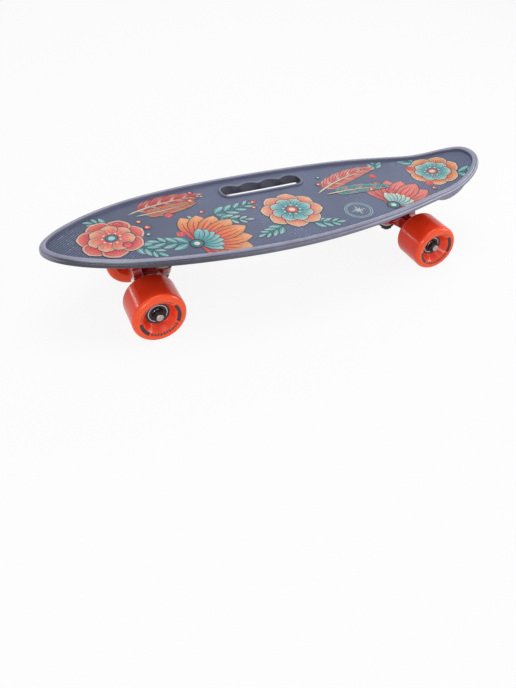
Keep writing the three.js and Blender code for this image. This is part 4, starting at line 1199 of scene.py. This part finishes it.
def stage_mesh():
    bm = bmesh.new()
    radii = (0.01, 0.5, 1.2, 2.5, 5.0, 9.0)
    rows = sweep(bm, [circle(r, 0, 72) for r in radii])
    bm.faces.new(rows[0])
    mesh = bpy.data.meshes.new("floor")
    bm.to_mesh(mesh)
    bm.free()
    return mesh


floor = bpy.data.objects.new("floor", stage_mesh())
floor.location.z = -0.0002
scene.collection.objects.link(floor)


def white_where_seen(tree, kept, share):
    """Mixes plain white into what the camera, gloss and glass see; the rest lights the object."""
    path = tree.nodes.new("ShaderNodeLightPath")
    top = path.outputs["Is Camera Ray"]
    for name in ("Is Glossy Ray", "Is Transmission Ray"):
        most = tree.nodes.new("ShaderNodeMath")
        most.operation = "MAXIMUM"
        tree.links.new(top, most.inputs[0])
        tree.links.new(path.outputs[name], most.inputs[1])
        top = most.outputs[0]
    scaled = tree.nodes.new("ShaderNodeMath")
    scaled.operation = "MULTIPLY"
    scaled.inputs[1].default_value = share
    tree.links.new(top, scaled.inputs[0])
    return scaled.outputs[0]


paper = bpy.data.materials.new("floor_paper")
paper.use_nodes = True
tree = paper.node_tree
matt = tree.nodes["Principled BSDF"]
matt.inputs["Base Color"].default_value = (0.86, 0.86, 0.865, 1)
matt.inputs["Roughness"].default_value = 0.9
matt.inputs["Specular IOR Level"].default_value = 0.1
white = tree.nodes.new("ShaderNodeEmission")
blend = tree.nodes.new("ShaderNodeMixShader")
tree.links.new(white_where_seen(tree, matt, 0.9), blend.inputs[0])
tree.links.new(matt.outputs[0], blend.inputs[1])
tree.links.new(white.outputs[0], blend.inputs[2])
tree.links.new(blend.outputs[0], tree.nodes["Material Output"].inputs[0])
floor.data.materials.append(paper)

world = bpy.data.worlds.new("studio")
scene.world = world
world.use_nodes = True
tree = world.node_tree
soft = tree.nodes["Background"]
soft.inputs[0].default_value = (0.97, 0.98, 1.0, 1)
soft.inputs[1].default_value = 0.25
seen = tree.nodes.new("ShaderNodeBackground")
seen.inputs[0].default_value = (1, 1, 1, 1)
blend = tree.nodes.new("ShaderNodeMixShader")
tree.links.new(white_where_seen(tree, soft, 1.0), blend.inputs[0])
tree.links.new(soft.outputs[0], blend.inputs[1])
tree.links.new(seen.outputs[0], blend.inputs[2])
tree.links.new(blend.outputs[0], tree.nodes["World Output"].inputs[0])


def lamp(name, place, aim, power, size):
    data = bpy.data.lights.new(name, "AREA")
    data.shape, data.size, data.size_y, data.energy = "RECTANGLE", size[0], size[1], power
    obj = bpy.data.objects.new(name, data)
    scene.collection.objects.link(obj)
    obj.location = place
    obj.rotation_euler = (Vector(aim) - Vector(place)).to_track_quat("-Z", "Y").to_euler()


lamp("top", (0.1, 0.25, 1.8), (0, 0, 0.05), 14.0, (1.2, 1.0))
lamp("key", (-0.5, -0.9, 1.7), (0, 0, 0.05), 4.0, (1.0, 0.8))
lamp("front", (-1.1, -1.3, 0.6), (0, 0, 0.05), 9.0, (0.9, 0.5))
lamp("strip", (-1.16, 1.08, 0.24), (-0.18, -0.05, 0.05), 0.7, (0.3, 0.07))
lamp("fill", (1.4, -0.6, 0.6), (0, 0, 0.05), 8.0, (0.8, 0.6))
lamp("back", (0.75, 1.5, 1.1), (0, 0, 0.05), 5.0, (1.7, 0.6))

camera = bpy.data.objects.new("camera", bpy.data.cameras.new("camera"))
scene.collection.objects.link(camera)
scene.camera = camera
right, up = Vector((0.9048, -0.4230, 0.0476)), Vector((0.1846, 0.4909, 0.8514))
ahead = Vector((0.3836, 0.7616, -0.5223))
basis = Matrix((right, up, -ahead)).transposed().to_4x4()
camera.matrix_world = Matrix.Translation((-0.32719, -0.5864, 0.4824)) @ basis
camera.data.sensor_fit, camera.data.sensor_height, camera.data.lens = "VERTICAL", 36, 34.01
camera.data.shift_x, camera.data.shift_y = -0.00145, -0.1846
camera.data.clip_start, camera.data.clip_end = 0.01, 50
scene.view_settings.view_transform = "Standard"
